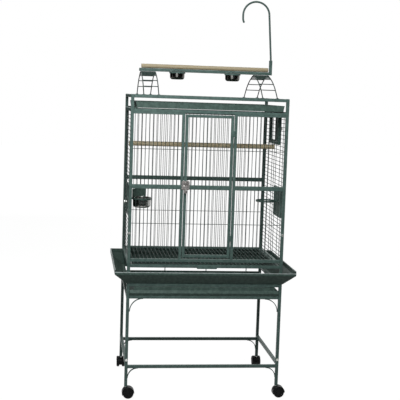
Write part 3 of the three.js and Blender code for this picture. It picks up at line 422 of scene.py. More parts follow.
def painted(name, dark, light, cell, depth, gloss, shine):
    """Hammered powder coat: small dimples, cloudy colour, pale edges that are partly wear and
    partly a painted highlight, and a little dust.
    """
    paper = Paper(name)
    cloud = paper.fit(paper.noise(11), 0.25, 0.75, 0.3, 0.7)
    dimples = paper.cells(cell)
    grain = paper.noise(2600, 2)
    colour = paper.mix(cloud, rgb(*dark), rgb(*light))
    vein = paper.fit(dimples, 0.25, 0.75, 0, 0.2)
    colour = paper.mix(vein, colour, rgb(*[1.35 * c for c in light]))
    pits = paper.fit(paper.noise(700), 0.62, 0.75, 0, 0.35)
    colour = paper.mix(pits, colour, rgb(*[0.6 * c for c in dark]))
    # Paler along sharp edges: partly wear, partly a painted highlight.
    worn = paper.times(paper.edges(), paper.fit(paper.noise(60, 5), 0.42, 0.62, 0.08, 0.35))
    colour = paper.mix(worn, colour, rgb(*[2.1 * c for c in light]))
    dust = paper.times(paper.upward(), paper.fit(paper.noise(16, 4), 0.35, 0.75, 0.01, 0.04))
    colour = paper.mix(dust, colour, rgb(0.42, 0.43, 0.4))
    rough = paper.plus(paper.fit(paper.noise(90, 4), 0.3, 0.7, gloss - 0.07, gloss + 0.1),
                       paper.times(dust, 0.6))
    normal = paper.bump(grain, 0.00002, paper.bump(dimples, depth))
    return paper.finish(colour, rough, normal, Specular_IOR_Level=shine)


def steel(name, base, tint, gloss, lines):
    """Bright metal with fine turned lines, faint stains and fingerprints."""
    paper = Paper(name)
    turned = paper.noise(1, 5, 0.7, paper.stretched(*lines))
    stain = paper.fit(paper.noise(35, 4), 0.35, 0.7)
    colour = paper.mix(stain, rgb(*base), rgb(*tint))
    rough = paper.plus(paper.fit(turned, 0.25, 0.75, gloss - 0.06, gloss + 0.1),
                       paper.fit(paper.noise(80, 5), 0.5, 0.75, 0, 0.12))
    return paper.finish(colour, rough, paper.bump(turned, 0.00003), Metallic=1.0)


def wooden(name, pale):
    """Plain sanded softwood with its grain along X, darker growth lines and a few knots."""
    def tone(*colour):
        return rgb(*[min(1.0, pale * c) for c in colour])
    paper = Paper(name)
    grain = paper.noise(1, 6, 0.65, paper.stretched(3, 90, 90), 0.6)
    fibre = paper.noise(1, 3, 0.6, paper.stretched(18, 700, 700))
    bands = paper.add("ShaderNodeTexWave", {
        "Vector": paper.stretched(1.4, 60, 60), "Scale": 1.6, "Distortion": 5.0,
        "Detail": 3.0}, "Fac", wave_type="RINGS", rings_direction="X")
    colour = paper.mix(paper.fit(grain, 0.3, 0.72), tone(0.58, 0.5, 0.34), tone(0.46, 0.365, 0.22))
    colour = paper.mix(paper.fit(bands, 0.45, 0.95, 0, 0.5), colour, tone(0.36, 0.255, 0.135))
    colour = paper.mix(paper.fit(fibre, 0.5, 0.8, 0, 0.45), colour, tone(0.28, 0.17, 0.08))
    worn = paper.fit(paper.noise(12, 5), 0.52, 0.72, 0, 0.45)
    colour = paper.mix(worn, colour, tone(0.62, 0.54, 0.4))
    rough = paper.fit(fibre, 0.3, 0.7, 0.52, 0.75)
    return paper.finish(colour, rough, paper.bump(fibre, 0.00012, paper.bump(grain, 0.0002)))


def plastic(name, base, scuff, gloss):
    """Moulded nylon: a fine spark texture, scuffs and road dust."""
    paper = Paper(name)
    scuffs = paper.fit(paper.noise(1, 5, 0.7, paper.stretched(220, 60, 300)), 0.58, 0.78, 0, 0.6)
    colour = paper.mix(scuffs, rgb(*base), rgb(*scuff))
    worn = paper.times(paper.edges(0.51, 0.58), 0.35)
    colour = paper.mix(worn, colour, rgb(*[1.6 * c for c in scuff]))
    rough = paper.fit(paper.noise(150, 4), 0.3, 0.7, gloss - 0.06, gloss + 0.12)
    return paper.finish(colour, rough, paper.bump(paper.noise(1800), 0.00004),
                        Specular_IOR_Level=0.12)


# Coats: the name of a paint slot and the material that fills it
FRAME = ("frame_paint", painted("hammered_frame", (0.06, 0.094, 0.082), (0.084, 0.128, 0.113),
                                330, 0.0002, 0.36, 0.15))
WIRE = ("wire_paint", painted("coated_wire", (0.024, 0.037, 0.032), (0.042, 0.06, 0.053),
                              520, 0.00012, 0.5, 0.12))
PLATE = ("sheet_paint", painted("hammered_sheet", (0.048, 0.074, 0.062), (0.066, 0.1, 0.085),
                                300, 0.00018, 0.34, 0.1))
# The rolled hems get a much paler, shinier copy of the sheet paint: a painted highlight along each
# skirt's lip.
HEM_HIGHLIGHT = ("sheet_paint", painted("hem_painted_highlight", (0.24, 0.28, 0.265), (0.3, 0.34, 0.325),
                              300, 0.00012, 0.3, 0.3))
BOWL = ("bowl_steel", steel("pressed_steel", (0.43, 0.43, 0.42), (0.36, 0.355, 0.335), 0.16,
                            (8, 8, 900)))
# The cups get a much darker copy of the bowls' steel: a painted dark reflection of an unlit room.
CUP_PAINTED_DARK = ("bowl_steel", steel("cup_steel_painted_dark_reflection", (0.17, 0.165, 0.155), (0.11, 0.105, 0.09), 0.16,
                           (8, 8, 900)))
LOCK = ("lock_metal", steel("cast_lock", (0.5, 0.47, 0.45), (0.33, 0.3, 0.285), 0.34,
                            (300, 300, 300)))
ZINC = ("zinc", steel("zinc_plate", (0.72, 0.72, 0.7), (0.6, 0.59, 0.53), 0.28, (500, 90, 500)))
WOOD = ("perch_wood", wooden("sanded_wood", 0.86))
# The inner perch gets a paler copy of the same wood: painted light, where the top tray shades it
# from the lamps.
WOOD_PAINTED_LIT = ("perch_wood", wooden("wood_painted_lit", 1.35))
HOOD = ("caster_black", plastic("caster_nylon", (0.004, 0.004, 0.0045), (0.014, 0.014, 0.014),
                                0.36))
TREAD = ("caster_black", plastic("wheel_nylon", (0.006, 0.006, 0.0065), (0.022, 0.021, 0.02),
                                 0.46))
# Near-black disc for the bottom of the lock knob's recess: painted shade in the hole.
HOLE_SHADE = ("caster_black", plastic("lock_hole_painted_shade", (0.006, 0.006, 0.006), (0.02, 0.02, 0.02), 0.6))


# The stand
def brace(form, side, y, underside, reach, gap):
    """A curved flat strip between a leg and the bar above it."""
    centre = (side * (INNER_X - gap - reach), underside - reach + 2)
    first = 0 if side > 0 else 90
    prism(form, "y", y - 5, y + 5, sector(centre, reach - 4, reach, first, first + 90, 18))
    tip = side * (INNER_X - gap - 1)
    rod(form, (tip, y - 5, centre[1] + 1), (tip, y + 5, centre[1] + 1), 1.6, 8)
    rod(form, (centre[0], y - 5, underside), (centre[0], y + 5, underside), 1.6, 8)


def bolts(level, prefix):
    """A washer and a six-sided head on the outer face of each corner post."""
    for name, x, y in CORNERS:
        form = Form()
        at = (x * POST_X, y * FACE_Y, level)
        washer = [(0.8, 0), (6.2, 0), (6.2, 0.5), (5.6, 0.9), (0.8, 0.9)]
        head = [(0.6, 0.8), (5, 0.8), (5, 2.4), (4.3, 3), (0.6, 3.1)]
        for profile, sides in ((washer, 32), (head, 6)):
            lathe(form, [(r, y * h) for r, h in profile], at, "y", sides)
        make(form, "cage", ZINC, f"{prefix}_{name}", sharp=25)


def build_stand():
    form = Form()
    for _, x, y in CORNERS:
        tube(form, "z", LEG_FOOT, LEG_SPLIT, x * POST_X, y * POST_Y)
        brace(form, x, y * POST_Y, SHELF, 54, -2)
        rod(form, (x * POST_X, y * POST_Y, LEG_FOOT - 1.5), (x * POST_X, y * POST_Y, LEG_FOOT + 2),
            7, 24, 0.4)
    for side in (-1, 1):
        welded_tube(form, "x", INNER_X, side * POST_Y, SHELF + HALF)
        welded_tube(form, "y", INNER_Y, side * POST_X, SHELF + TUBE + HALF)
    make(form, "cage", FRAME, "shelf_frame", "tubes")

    ledge, ledge_thick = 13, 2.5
    for name, side in SIDES:
        form = Form()
        x = side * POST_X
        for end in (-1, 1):
            tube(form, "z", LEG_SPLIT + FIT, STAND_TOP, x, end * POST_Y)
        for low in (APRON, STAND_TOP - TUBE):
            welded_tube(form, "y", INNER_Y, x, low + HALF)
        bar(form, "y", -LEDGE_END, LEDGE_END, side * (INNER_X - ledge), side * (INNER_X + 1),
            APRON + TUBE - ledge_thick, APRON + TUBE, radius=0.5)
        make(form, "cage", FRAME, f"stand_side_{name}", "tubes")

    for name, end in ENDS:
        y = end * POST_Y
        form = Form()
        tube(form, "x", -BAR_END, BAR_END, y, APRON + HALF)
        for side in (-1, 1):
            brace(form, side, y, APRON, 70, FIT)
        make(form, "cage", FRAME, f"stand_beam_{name}", "tube")
        form = Form()
        tube(form, "x", -BAR_END, BAR_END, y, STAND_TOP - HALF)
        if end > 0:
            for x in RAIL_UPRIGHTS:
                tube(form, "z", TRAY_FLOOR, STAND_TOP - TUBE + 1, x, y, 5, radius=0.8, chamfer=0.3)
        make(form, "cage", FRAME, f"stand_rail_{name}", "tube")
    bolts(LEG_SPLIT + 11, "leg_bolt")
    bolts(POST_BOLT, "post_bolt")


# Casters, drawn about the stem's axis with the wheels trailing to +X
TRAIL, AXLE_Z, WHEEL = 13, 28, 28.2


def hood_ring(angle, inset):
    """The hood's section at one angle round the axle: a shallow channel with rolled sides."""
    low, high, half = 29.4 + inset, 32.4 - inset, 22.6 - inset
    side = [(-half - 0.4, low), (-half - 0.4, high - 2.4), (-half + 0.8, high - 0.6),
            (-half + 2.6, high)]
    section = side + [(-y, r) for y, r in reversed(side)]
    a = radians(angle)
    return [(TRAIL + r * cos(a), y, AXLE_Z + r * sin(a)) for y, r in section]


def turned_about(form, x, y, quarter):
    """Moves a form from the stem's axis to a leg, with a quarter turn for the back ones."""
    moved = Form()
    moved.faces = form.faces
    for px, py, pz in form.corners:
        if quarter:
            px, py = -py, px
        moved.corners.append((x + px, y + py, pz))
    return moved


def build_casters():
    hood = Form()
    hood.loft([hood_ring(-2, 0.9), *[hood_ring(4 + 192 * i / 28, 0) for i in range(29)],
               hood_ring(202, 0.9)])
    inside = sector((TRAIL, AXLE_Z), 9, 29.8, 2, 198, 26)
    prism(hood, "y", -6.3, 6.3, inside)
    for side in (-1, 1):
        prism(hood, "y", side * 4, side * 6.8, sector((TRAIL, AXLE_Z), 22, 30, 8, 192, 26))
    rod(hood, (TRAIL, -6.4, AXLE_Z), (TRAIL, 6.4, AXLE_Z), 11, 32, 0.6)
    neck = [(6.4, 34), (8.5, 44), (8.2, 50), (6.6, 57), (6.6, 60.6), (6.2, 61)]
    lathe(hood, neck, (0, 0, 0), "z", 32)
    stem = Form()
    lathe(stem, [(4.6, 58), (8.4, 60.2), (8.4, 61.3), (4.6, 61.3), (4.6, 80)], (0, 0, 0), "z", 32)
    wheels = Form()
    for side in (-1, 1):
        profile = [(4, 7.2), (21, 7.2), (22, 8.2), (WHEEL - 1.6, 8.2), (WHEEL, 10), (WHEEL, 19.5),
                   (WHEEL - 0.7, 21.4), (WHEEL - 2.6, 22.6), (24, 22.8), (22.6, 21.6), (21.8, 19.8),
                   (13, 19.2), (11.6, 21.3), (10.4, 22.2), (4, 22.6)]
        lathe(wheels, [(r, side * h) for r, h in profile], (TRAIL, 0, AXLE_Z), "y", 64)
        for k in range(5):
            a = radians(72 * k + 18)
            u, v = cos(a), sin(a)
            rod(wheels, (TRAIL + 11 * u, side * 20, AXLE_Z + 11 * v),
                (TRAIL + 22.4 * u, side * 20, AXLE_Z + 22.4 * v), 1.5, 8)
    cap = Form()
    for side in (-1, 1):
        lathe(cap, [(3.6, side * 21), (3.6, side * 22.9), (2.8, side * 23.5), (0.6, side * 23.7)],
              (TRAIL, 0, AXLE_Z), "y", 24)
    for name, x, y in CORNERS:
        at = (x * POST_X, y * POST_Y, y > 0)
        swivel, axle = f"caster_swivel_{name}", f"caster_axle_{name}"
        make(turned_about(hood, *at), swivel, HOOD, f"caster_hood_{name}", "shell")
        make(turned_about(stem, *at), swivel, ZINC, f"caster_stem_{name}", stands=False)
        make(turned_about(wheels, *at), axle, TREAD, f"caster_wheels_{name}", "pair")
        make(turned_about(cap, *at), axle, HOOD, f"caster_cap_{name}", stands=False)


# Seed skirts, trays and grate
def build_skirts():
    """Each skirt is drawn at the front and turned by quarters to its own side."""
    low, steps = STAND_TOP + FIT, 16
    along_x = (FACE_Y, SKIRT_REACH_Y, FACE_X, SKIRT_REACH_X)
    along_y = (FACE_X, SKIRT_REACH_X, FACE_Y, SKIRT_REACH_Y)
    for quarter, (name, lip) in enumerate((("front", LOW_LIP), ("right", HIGH_LIP),
                                           ("back", HIGH_LIP), ("left", HIGH_LIP))):
        face, reach, end, end_reach = along_y if quarter % 2 else along_x
        bend, top = low + SKIRT_RISE, low + SKIRT_RISE + lip
        path = rounded_path([(-13, low), (1.5, low), (reach, bend), (reach, top - 4.4)], 2.6, 5)
        roll = [(reach - HEM_RADIUS + HEM_RADIUS * cos(a),
                 top - HEM_RADIUS + HEM_RADIUS * sin(a))
                for a in (2 * pi * k / steps for k in range(steps))]
        form, hem = Form(), Form()
        for piece, outline in ((form, thick(path, SHEET)), (hem, roll)):
            rings = []
            for way in (-1, 1):
                ring = []
                for out, z in outline:
                    x, y = way * (end + out * end_reach / reach - SKIRT_CORNER), -face - out
                    for _ in range(quarter):
                        x, y = -y, x
                    ring.append((x, y, z))
                rings.append(ring)
            piece.loft(rings)
        make(form, "cage", PLATE, f"skirt_{name}", "sheet", sharp=50)
        # The hem is drawn in the paler paint: a painted highlight.
        make(hem, "cage", HEM_HIGHLIGHT, f"skirt_{name}", "hem", False)


def build_bottom_tray():
    wide, front, back = BAR_END - 0.6, -FACE_Y, INNER_Y
    low, high = TRAY_FLOOR, TRAY_FLOOR + TRAY_HEIGHT
    edge_low, edge_thick = high - 7, 3.2
    form = Form()
    bar(form, "z", low, low + SHEET, -wide, wide, front + 1, back, radius=3, chamfer=0.3)
    for side in (-1, 1):
        wall = side * wide
        bar(form, "y", front + 1, back, wall, wall - side * SHEET, low, high, radius=0.6)
        bar(form, "y", front + 1, back, wall, wall - side * edge_thick, edge_low, high, radius=0.9)
    bar(form, "x", -wide, wide, back - SHEET, back, low, high, radius=0.6)
    bar(form, "x", -wide, wide, back - edge_thick, back, edge_low, high, radius=0.9)
    nose = rounded_path([(front + 1.3, low), (front, low), (front - 8, low + 14.4),
                         (front, low + 29.8), (front + SHEET, low + 29.8)], 1.6, 4)
    prism(form, "x", -wide, wide, [tuple(p) for p in nose])
    notch, top, hem = wide - 24, low + TRAY_SHIELD, 1.2
    prism(form, "y", front, front + SHEET, [(-notch - 6, high - 1), (notch + 6, high - 1),
                                            (notch, top - 1), (-notch, top - 1)])
    rod(form, (-notch, front + hem, top - hem), (notch, front + hem, top - hem), hem, 10)
    make(form, "bottom_drawer", PLATE, "bottom_tray", "pan", sharp=50)


def build_top_tray():
    low, high, front, back = TOP_TRAY_LOW, TOP_TRAY_HIGH, -FACE_Y, INNER_Y
    narrow, wide = TOP_TRAY_HALF, TOP_TRAY_HALF + TOP_TRAY_FLARE
    hem = 0.8
    form = Form()
    bar(form, "y", front + 0.6, back, -narrow, narrow, low, low + SHEET, radius=0.6)
    for side in (-1, 1):
        prism(form, "y", front + 0.6, back,
              [(side * narrow, low), (side * wide, high), (side * (wide - SHEET), high),
               (side * (narrow - SHEET), low)])
        rod(form, (side * (wide - hem), front + 0.6, high - hem),
            (side * (wide - hem), back, high - hem), 2 * hem, 10)
    for y in (front, back - SHEET):
        prism(form, "y", y, y + SHEET, [(-narrow, low), (narrow, low), (wide, high), (-wide, high)])
        rod(form, (-wide, y + hem, high - hem), (wide, y + hem, high - hem), 2 * hem, 10)
    make(form, "top_drawer", PLATE, "top_tray", "pan", sharp=50)


def build_grate():
    wide, front, back, edge = BAR_END - 2, -FACE_Y, INNER_Y - 0.6, 4
    form = Form()
    bar(form, "x", -BAR_END, BAR_END, front, front + 3, GRATE_FOOT, GRATE_TOP, radius=1.2)
    bar(form, "x", -BAR_END, BAR_END, front + 1, -INNER_Y, GRATE_FOOT, GRATE_FOOT + 3, radius=1.2)
    for side in (-1, 1):
        tube(form, "y", front + 2, back, side * (wide - edge), GRATE_TOP - edge, 2 * edge, radius=1)
    tube(form, "x", -wide, wide, back - edge, GRATE_TOP - edge, 2 * edge, radius=1)
    left, right, y = -46, 59, front - 2
    high, low = GRATE_TOP - 2, GRATE_FOOT - 4.5
    prism(form, "y", y, y + 2.2, [(left, high), (right, high), (right, low + 3), (right - 3, low),
                                  (left + 3, low), (left, low + 3)])
    bar(form, "x", left + 2, right - 2, y - 2.6, y + 0.6, low + 0.1, low + 2.4, radius=1)
    make(form, "grate_drawer", FRAME, "floor_grate", "frame")
    form = Form()
    z = GRATE_TOP + 4 / 3
    for x in spread(-INNER_X, INNER_X):
        rod(form, (x, front + 1.5, z), (x, back - 2, z), GRATE_ROD, 10)
    for y in (-130, 0, 130):
        rod(form, (-wide + edge, y, z - 3.7), (wide - edge, y, z - 3.7), GRATE_ROD, 10)
    make(form, "grate_drawer", WIRE, "floor_grate", "wires", False)


# Walls
FEEDER_WAY = {"y0": -220, "y1": -46, "z0": 948, "z1": 1106, "size": 8, "depth": 10}
NEST_WAY = {"y0": -113, "y1": 125, "z0": 1328, "z1": 1499, "size": 13, "depth": PANEL}


def wire(form, start, end):
    rod(form, start, end, WIRE_RADIUS, 8)


def wire_field(form, start, end, low, high):
    """Upright wires between two bars of the front, with crossing wires behind them."""
    for x in spread(start, end):
        wire(form, (x, -POST_Y, low), (x, -POST_Y, high))
    for z in CROSS_WIRES:
        wire(form, (start - 1, -POST_Y + CROSS_STEP, z), (end + 1, -POST_Y + CROSS_STEP, z))


def cut_run(start, end, gaps):
    """The stretches of a wire between two ends that are left outside some gaps."""
    runs = [(start, end)]
    for low, high in gaps:
        left = []
        for a, b in runs:
            parts = ((a, b),) if high <= a or low >= b else ((a, low), (high, b))
            left += [part for part in parts if part[1] > part[0]]
        runs = left
    return runs


def frame_bars(form, x, y0, y1, z0, z1, size, depth):
    """A rectangle of four bars in a side wall."""
    near, far = x - depth / 2, x + depth / 2
    for start in (y0, y1 - size):
        bar(form, "z", z0, z1, near, far, start, start + size, radius=1.2)
    for start in (z0, z1 - size):
        bar(form, "y", y0 + 1, y1 - 1, near, far, start, start + size, radius=1.2)


def build_side_wall(name, side, ways):
    x, hold = side * POST_X, 3
    form = Form()
    for end in (-1, 1):
        tube(form, "z", BODY_FOOT, CAGE_TOP, x, end * POST_Y)
    for low in (FLOOR_RAIL, HEAD, DECK):
        welded_tube(form, "y", INNER_Y, x, low + HALF)
    for reach, low, high in ((13, 694.2, 697.7), (19.5, 1504.2, 1506.7), (2.5, 1500, 1506.7)):
        bar(form, "y", -LEDGE_END, LEDGE_END, side * (INNER_X - reach), side * (INNER_X + 1), low,
            high, radius=0.5)
    for way in ways:
        frame_bars(form, x, **way)
    make(form, "cage", FRAME, f"side_wall_{name}", "tubes")

    form = Form()
    out = x + side * CROSS_STEP
    for z in spread(FLOOR_TOP, HEAD):
        gaps = [(way["y0"] + hold, way["y1"] - hold) for way in ways if way["z0"] < z < way["z1"]]
        for start, end in cut_run(-POST_Y, POST_Y, gaps):
            wire(form, (x, start, z), (x, end, z))
    for y in UPRIGHTS:
        gaps = [(way["z0"] + hold, way["z1"] - hold) for way in ways if way["y0"] < y < way["y1"]]
        for start, end in cut_run(FLOOR_TOP - 1, HEAD + 1, gaps):
            wire(form, (out, y, start), (out, y, end))
    make(form, "cage", WIRE, f"side_wall_{name}", "wires", False)


def hinge_half(form, low, edge, side):
    """Half a hinge: a barrel about the pin and a leaf welded to the panel tube beside it."""
    rod(form, (HINGE_X, HINGE_Y, low), (HINGE_X, HINGE_Y, low + TUBE), 4.5, 24, 0.5)
    reach, face, cut = edge + side * 12, PANEL_FRONT + 0.5, 3
    prism(form, "y", face - 2.4, face,
          [(edge, low), (reach - side * cut, low), (reach, low + cut), (reach, low + TUBE - cut),
           (reach - side * cut, low + TUBE), (edge, low + TUBE)])
    root = edge + side * 0.6
    bar(form, "z", low, low + TUBE, root - 1, root + 1, face - 3.6, face, radius=0.6)


def build_front_wall():
    y0, y1 = PANEL_FRONT, PANEL_BACK
    jambs = ((DOOR_LEFT - JAMB_GAP - PANEL, DOOR_LEFT - JAMB_GAP),
             (DOOR_RIGHT + JAMB_GAP, DOOR_RIGHT + JAMB_GAP + PANEL))
    form, wires = Form(), Form()
    for low in (SILL, HEAD):
        tube(form, "x", -BAR_END, BAR_END, -POST_Y, low + HALF)
    for x0, x1 in jambs:
        bar(form, "z", SILL_TOP - 0.6, HEAD + 0.6, x0, x1, y0, y1)
        for z in (SILL_TOP, HEAD):
            weld(form, "z", z, x0, x1, y0, y1, 0.8)
    for x0, x1 in ((-BAR_END, jambs[0][0]), (jambs[1][1], BAR_END)):
        for low, high in ((MID_RAIL, MID_RAIL + MID_TALL), (HEAD - 9, HEAD + 1)):
            bar(form, "x", x0 - 0.6, x1 + 0.6, y0, y1, low, high)
        weld(form, "x", x0 if x0 > 0 else x1, y0, y1 - 1, MID_RAIL, MID_RAIL + MID_TALL, 0.8)
        wire_field(wires, x0, x1, SILL_TOP - 1, HEAD - 1)
    for low in HINGE_LEVELS:
        hinge_half(form, low, jambs[1][0], 1)
    make(form, "cage", FRAME, "front_wall", "tubes")
    make(wires, "cage", WIRE, "front_wall", "wires", False)


def build_back_wall():
    form, wires = Form(), Form()
    for low, tall in ((FLOOR_RAIL, TUBE), (MID_RAIL - 3, MID_TALL), (HEAD - 6, TUBE)):
        bar(form, "x", -BAR_END, BAR_END, INNER_Y, FACE_Y, low, low + tall)
    foot, hem = FLOOR_RAIL - 14, 1.6
    bar(form, "x", -BAR_END, BAR_END, FACE_Y - 2, FACE_Y, foot, FLOOR_RAIL + 1, radius=0.6)
    rod(form, (-BAR_END, FACE_Y - 1.8, foot + hem), (BAR_END, FACE_Y - 1.8, foot + hem), hem, 10)
    low, high, inside = FLOOR_TOP - 1, HEAD + 1, POST_Y - CROSS_STEP
    for x in spread(-INNER_X, INNER_X):
        wire(wires, (x, POST_Y, low), (x, POST_Y, high))
    for x in (-BAR_END + WIRE_RADIUS, BAR_END - WIRE_RADIUS):
        wire(wires, (x, inside, low), (x, inside, high))
    for z in CROSS_WIRES:
        wire(wires, (-BAR_END + 1, inside, z), (BAR_END - 1, inside, z))
    make(form, "cage", FRAME, "back_wall", "tubes")
    make(wires, "cage", WIRE, "back_wall", "wires", False)


def build_roof():
    form, wires = Form(), Form()
    wide, deep, edge = INNER_X - 0.6, INNER_Y - 0.6, ROOF_BAR / 2
    level = ROOF_LOW + edge
    for side in (-1, 1):
        tube(form, "y", -deep, deep, side * (wide - edge), level, ROOF_BAR, radius=1.2)
        tube(form, "x", -wide + 9, wide - 9, side * (deep - edge), level, ROOF_BAR, radius=1.2)
    for x in spread(-wide, wide):
        wire(wires, (x, -deep + edge, level), (x, deep - edge, level))
    level -= CROSS_STEP
    wire(wires, (-wide + edge, 0, level), (wide - edge, 0, level))
    make(form, "cage", FRAME, "roof_grille", "frame")
    make(wires, "cage", WIRE, "roof_grille", "wires", False)


# Front door, hinges and lock
def build_door():
    left, right, low, high = DOOR_LEFT, DOOR_RIGHT, DOOR_LOW, DOOR_TOP
    y0, y1 = PANEL_FRONT, PANEL_BACK
    form, wires = Form(), Form()
    for x0 in (left, right - PANEL):
        bar(form, "z", low, high, x0, x0 + PANEL, y0, y1)
    for z0, size in ((low, PANEL), (high - PANEL, PANEL), (MID_RAIL, MID_TALL)):
        bar(form, "x", left + PANEL - 1, right - PANEL + 1, y0, y1, z0, z0 + size)
        for x in (left + PANEL, right - PANEL):
            weld(form, "x", x, y0, y1, z0, z0 + size, 0.7)
    wire_field(wires, left + PANEL, right - PANEL, low + 6, high - 6)
    for level in HINGE_LEVELS:
        hinge_half(form, level + TUBE + FIT, right, -1)
    make(form, "door", FRAME, "front_door", "frame")
    make(wires, "door", WIRE, "front_door", "wires", False)
    for name, level in zip(("low", "high"), HINGE_LEVELS):
        form = Form()
        lathe(form, [(1.2, -2.6), (3, -2.3), (3.7, -1.4), (3.7, -0.3), (2, -0.3), (2, 32.4),
                     (1.2, 33)], (HINGE_X, HINGE_Y, level), "z", 24)
        make(form, "cage", ZINC, f"door_hinge_pin_{name}", "turned")


def build_lock():
    """A cast plate with four screws, and a knob whose spindle carries the tongue inside."""
    form = Form()
    back, middle, hub = PANEL_FRONT - 2 * FIT, LOCK_Z + 10, 9
    bar(form, "y", back - 3, back, LOCK_X - 21, LOCK_X + 21, middle - 23, middle + 23, radius=6,
        chamfer=0.8, steps=6)
    lathe(form, [(4.2, -1.5), (13.5, -1.5), (13.2, -3.6), (11, -4.6), (10.6, -8.4), (9.8, -hub),
                 (4.2, -hub)], (LOCK_X, back, LOCK_Z), "y", 48)
    screw = [(0.6, -2.5), (3, -2.5), (3, -3.5), (2.2, -4.5), (0.6, -4.8)]
    for x, z in ((-15, 17), (15, 17), (-15, -17), (15, -17)):
        lathe(form, screw, (LOCK_X + x, back, middle + z), "y", 24)
    make(form, "door", LOCK, "door_lock_plate", "cast")
    form = Form()
    foot = back - hub - FIT
    face, tongue, grip = foot - 9, PANEL_BACK + 2 * FIT, 22
    for way in (-1, 1):
        lathe(form, [(1, foot), (8.2, foot), (9, foot - 1), (9, face + 1.8), (7.6, face + 0.4),
                     (4, face)], (LOCK_X, 0, LOCK_Z + way * grip), "y", 40)
    bar(form, "y", face + 0.6, foot, LOCK_X - 5, LOCK_X + 5, LOCK_Z - grip, LOCK_Z + grip,
        radius=1.5, chamfer=1)
    lathe(form, [(3.2, foot), (9.4, foot), (9.4, face + 1), (8.2, face - 0.2), (4.4, face - 0.2),
                 (4.4, face + 1.5), (3.2, face + 1.5)], (LOCK_X, 0, LOCK_Z), "y", 40, closed=True)
    rod(form, (LOCK_X, face + 3, LOCK_Z), (LOCK_X, tongue + 2.4, LOCK_Z), 3.6, 24, 0.4)
    bar(form, "y", tongue, tongue + 3, LOCK_X - 4.5, LOCK_X + 4.5, LOCK_Z - 4.5, LOCK_Z + 27,
        radius=2, chamfer=0.4)
    make(form, "door_lock", LOCK, "door_lock_knob", "cast")
    form = Form()
    # A black disc at the bottom of the knob's recess: painted shade that makes the hole read dark.
    rod(form, (LOCK_X, face + 1.6, LOCK_Z), (LOCK_X, face + 2.6, LOCK_Z), 4.3, 24)
    make(form, "door_lock", HOLE_SHADE, "door_lock", "hole", False)


# Side doors with their rings, bowls and latches
def leaf_of(way):
    """Where the outer edges of a door's leaf lie in its doorway."""
    gap = way["size"] + 2
    return way["y0"] + gap, way["y1"] - gap, way["z0"] + gap, way["z1"] - gap


def leaf_frame(form, sheet, x, leaf, sheet_end, pivot_y, latch_y, latch_z):
    """A leaf's frame with its pivots and latch block, and its sheet with two pressed ribs."""
    y0, _, z0, z1 = leaf
    half = LEAF_BAR / 2
    frame_bars(form, x, *leaf, LEAF_BAR, LEAF_BAR)
    bar(sheet, "x", x - 1, x + 1, y0 + 3, sheet_end, z0 + 3, z1 - 3, radius=0.5, chamfer=0.3)
    for share in (0.3, 0.7):
        rib = y0 + share * (sheet_end - y0)
        rod(sheet, (x, rib, z0 + 16), (x, rib, z1 - 16), 1.7, 12, 0.6)
    for start, end in ((z0 - 6.6, z0 + 1), (z1 - 1, z1 + 6.6)):
        rod(form, (x, pivot_y, start), (x, pivot_y, end), 2, 16)
    bar(form, "x", x - half, x + half, latch_y - 8.2, latch_y + 8.2, latch_z - 8.5, latch_z + 8.5,
        radius=2)


def build_latch(name, body, side, y, z, depth):
    """A knob outside, a neck, a spindle and a flat tongue inside."""
    form = Form()
    x = side * POST_X
    profile = [(2.4, -depth / 2 - 2.4), (2.4, 3.6), (6.4, 4.4), (6.4, 5.6), (4, 6.2), (3.8, 12.2),
               (7, 13.3), (8, 14.4), (8, 18.6), (7.2, 19.8), (5, 20.3), (1, 20.3)]
    lathe(form, [(r, side * h) for r, h in profile], (x, y, z), "x", 40)
    face = x - side * (depth / 2 + 2 * FIT)
    bar(form, "x", face, face - side * 2.5, y - 3, y + 3, z - 3, z + 14, radius=1.4)
    make(form, body, ZINC, name, "turned")


def pressed_bowl(form, radius, depth, place):
    """A pressed bowl with a rolled rim, its rim's underside at height 0."""
    outer = [(4, -depth + 1.4), (radius - 17, -depth + 1.2), (radius - 15, -depth),
             (radius - 11, -depth), (radius - 6, -depth + 2.4), (radius - 2.4, -depth + 6.4),
             (radius - 0.9, -depth + 12), (radius, -3), (radius + 0.4, -0.4)]
    rim = [(radius + 1.8, 0), (radius + 2.6, 0.6), (radius + 2.7, 1.3), (radius + 2.2, 2),
           (radius + 1, 2.4), (radius - 0.2, 2.2), (radius - 1, 1.4)]
    inner = [(radius - 1.3, 0), (radius - 2.1, -depth + 12.4), (radius - 3.6, -depth + 7.2),
             (radius - 7, -depth + 3.6), (radius - 12, -depth + 2.2), (4, -depth + 2.2)]
    lathe(form, outer + rim + inner, place, "z", 72)


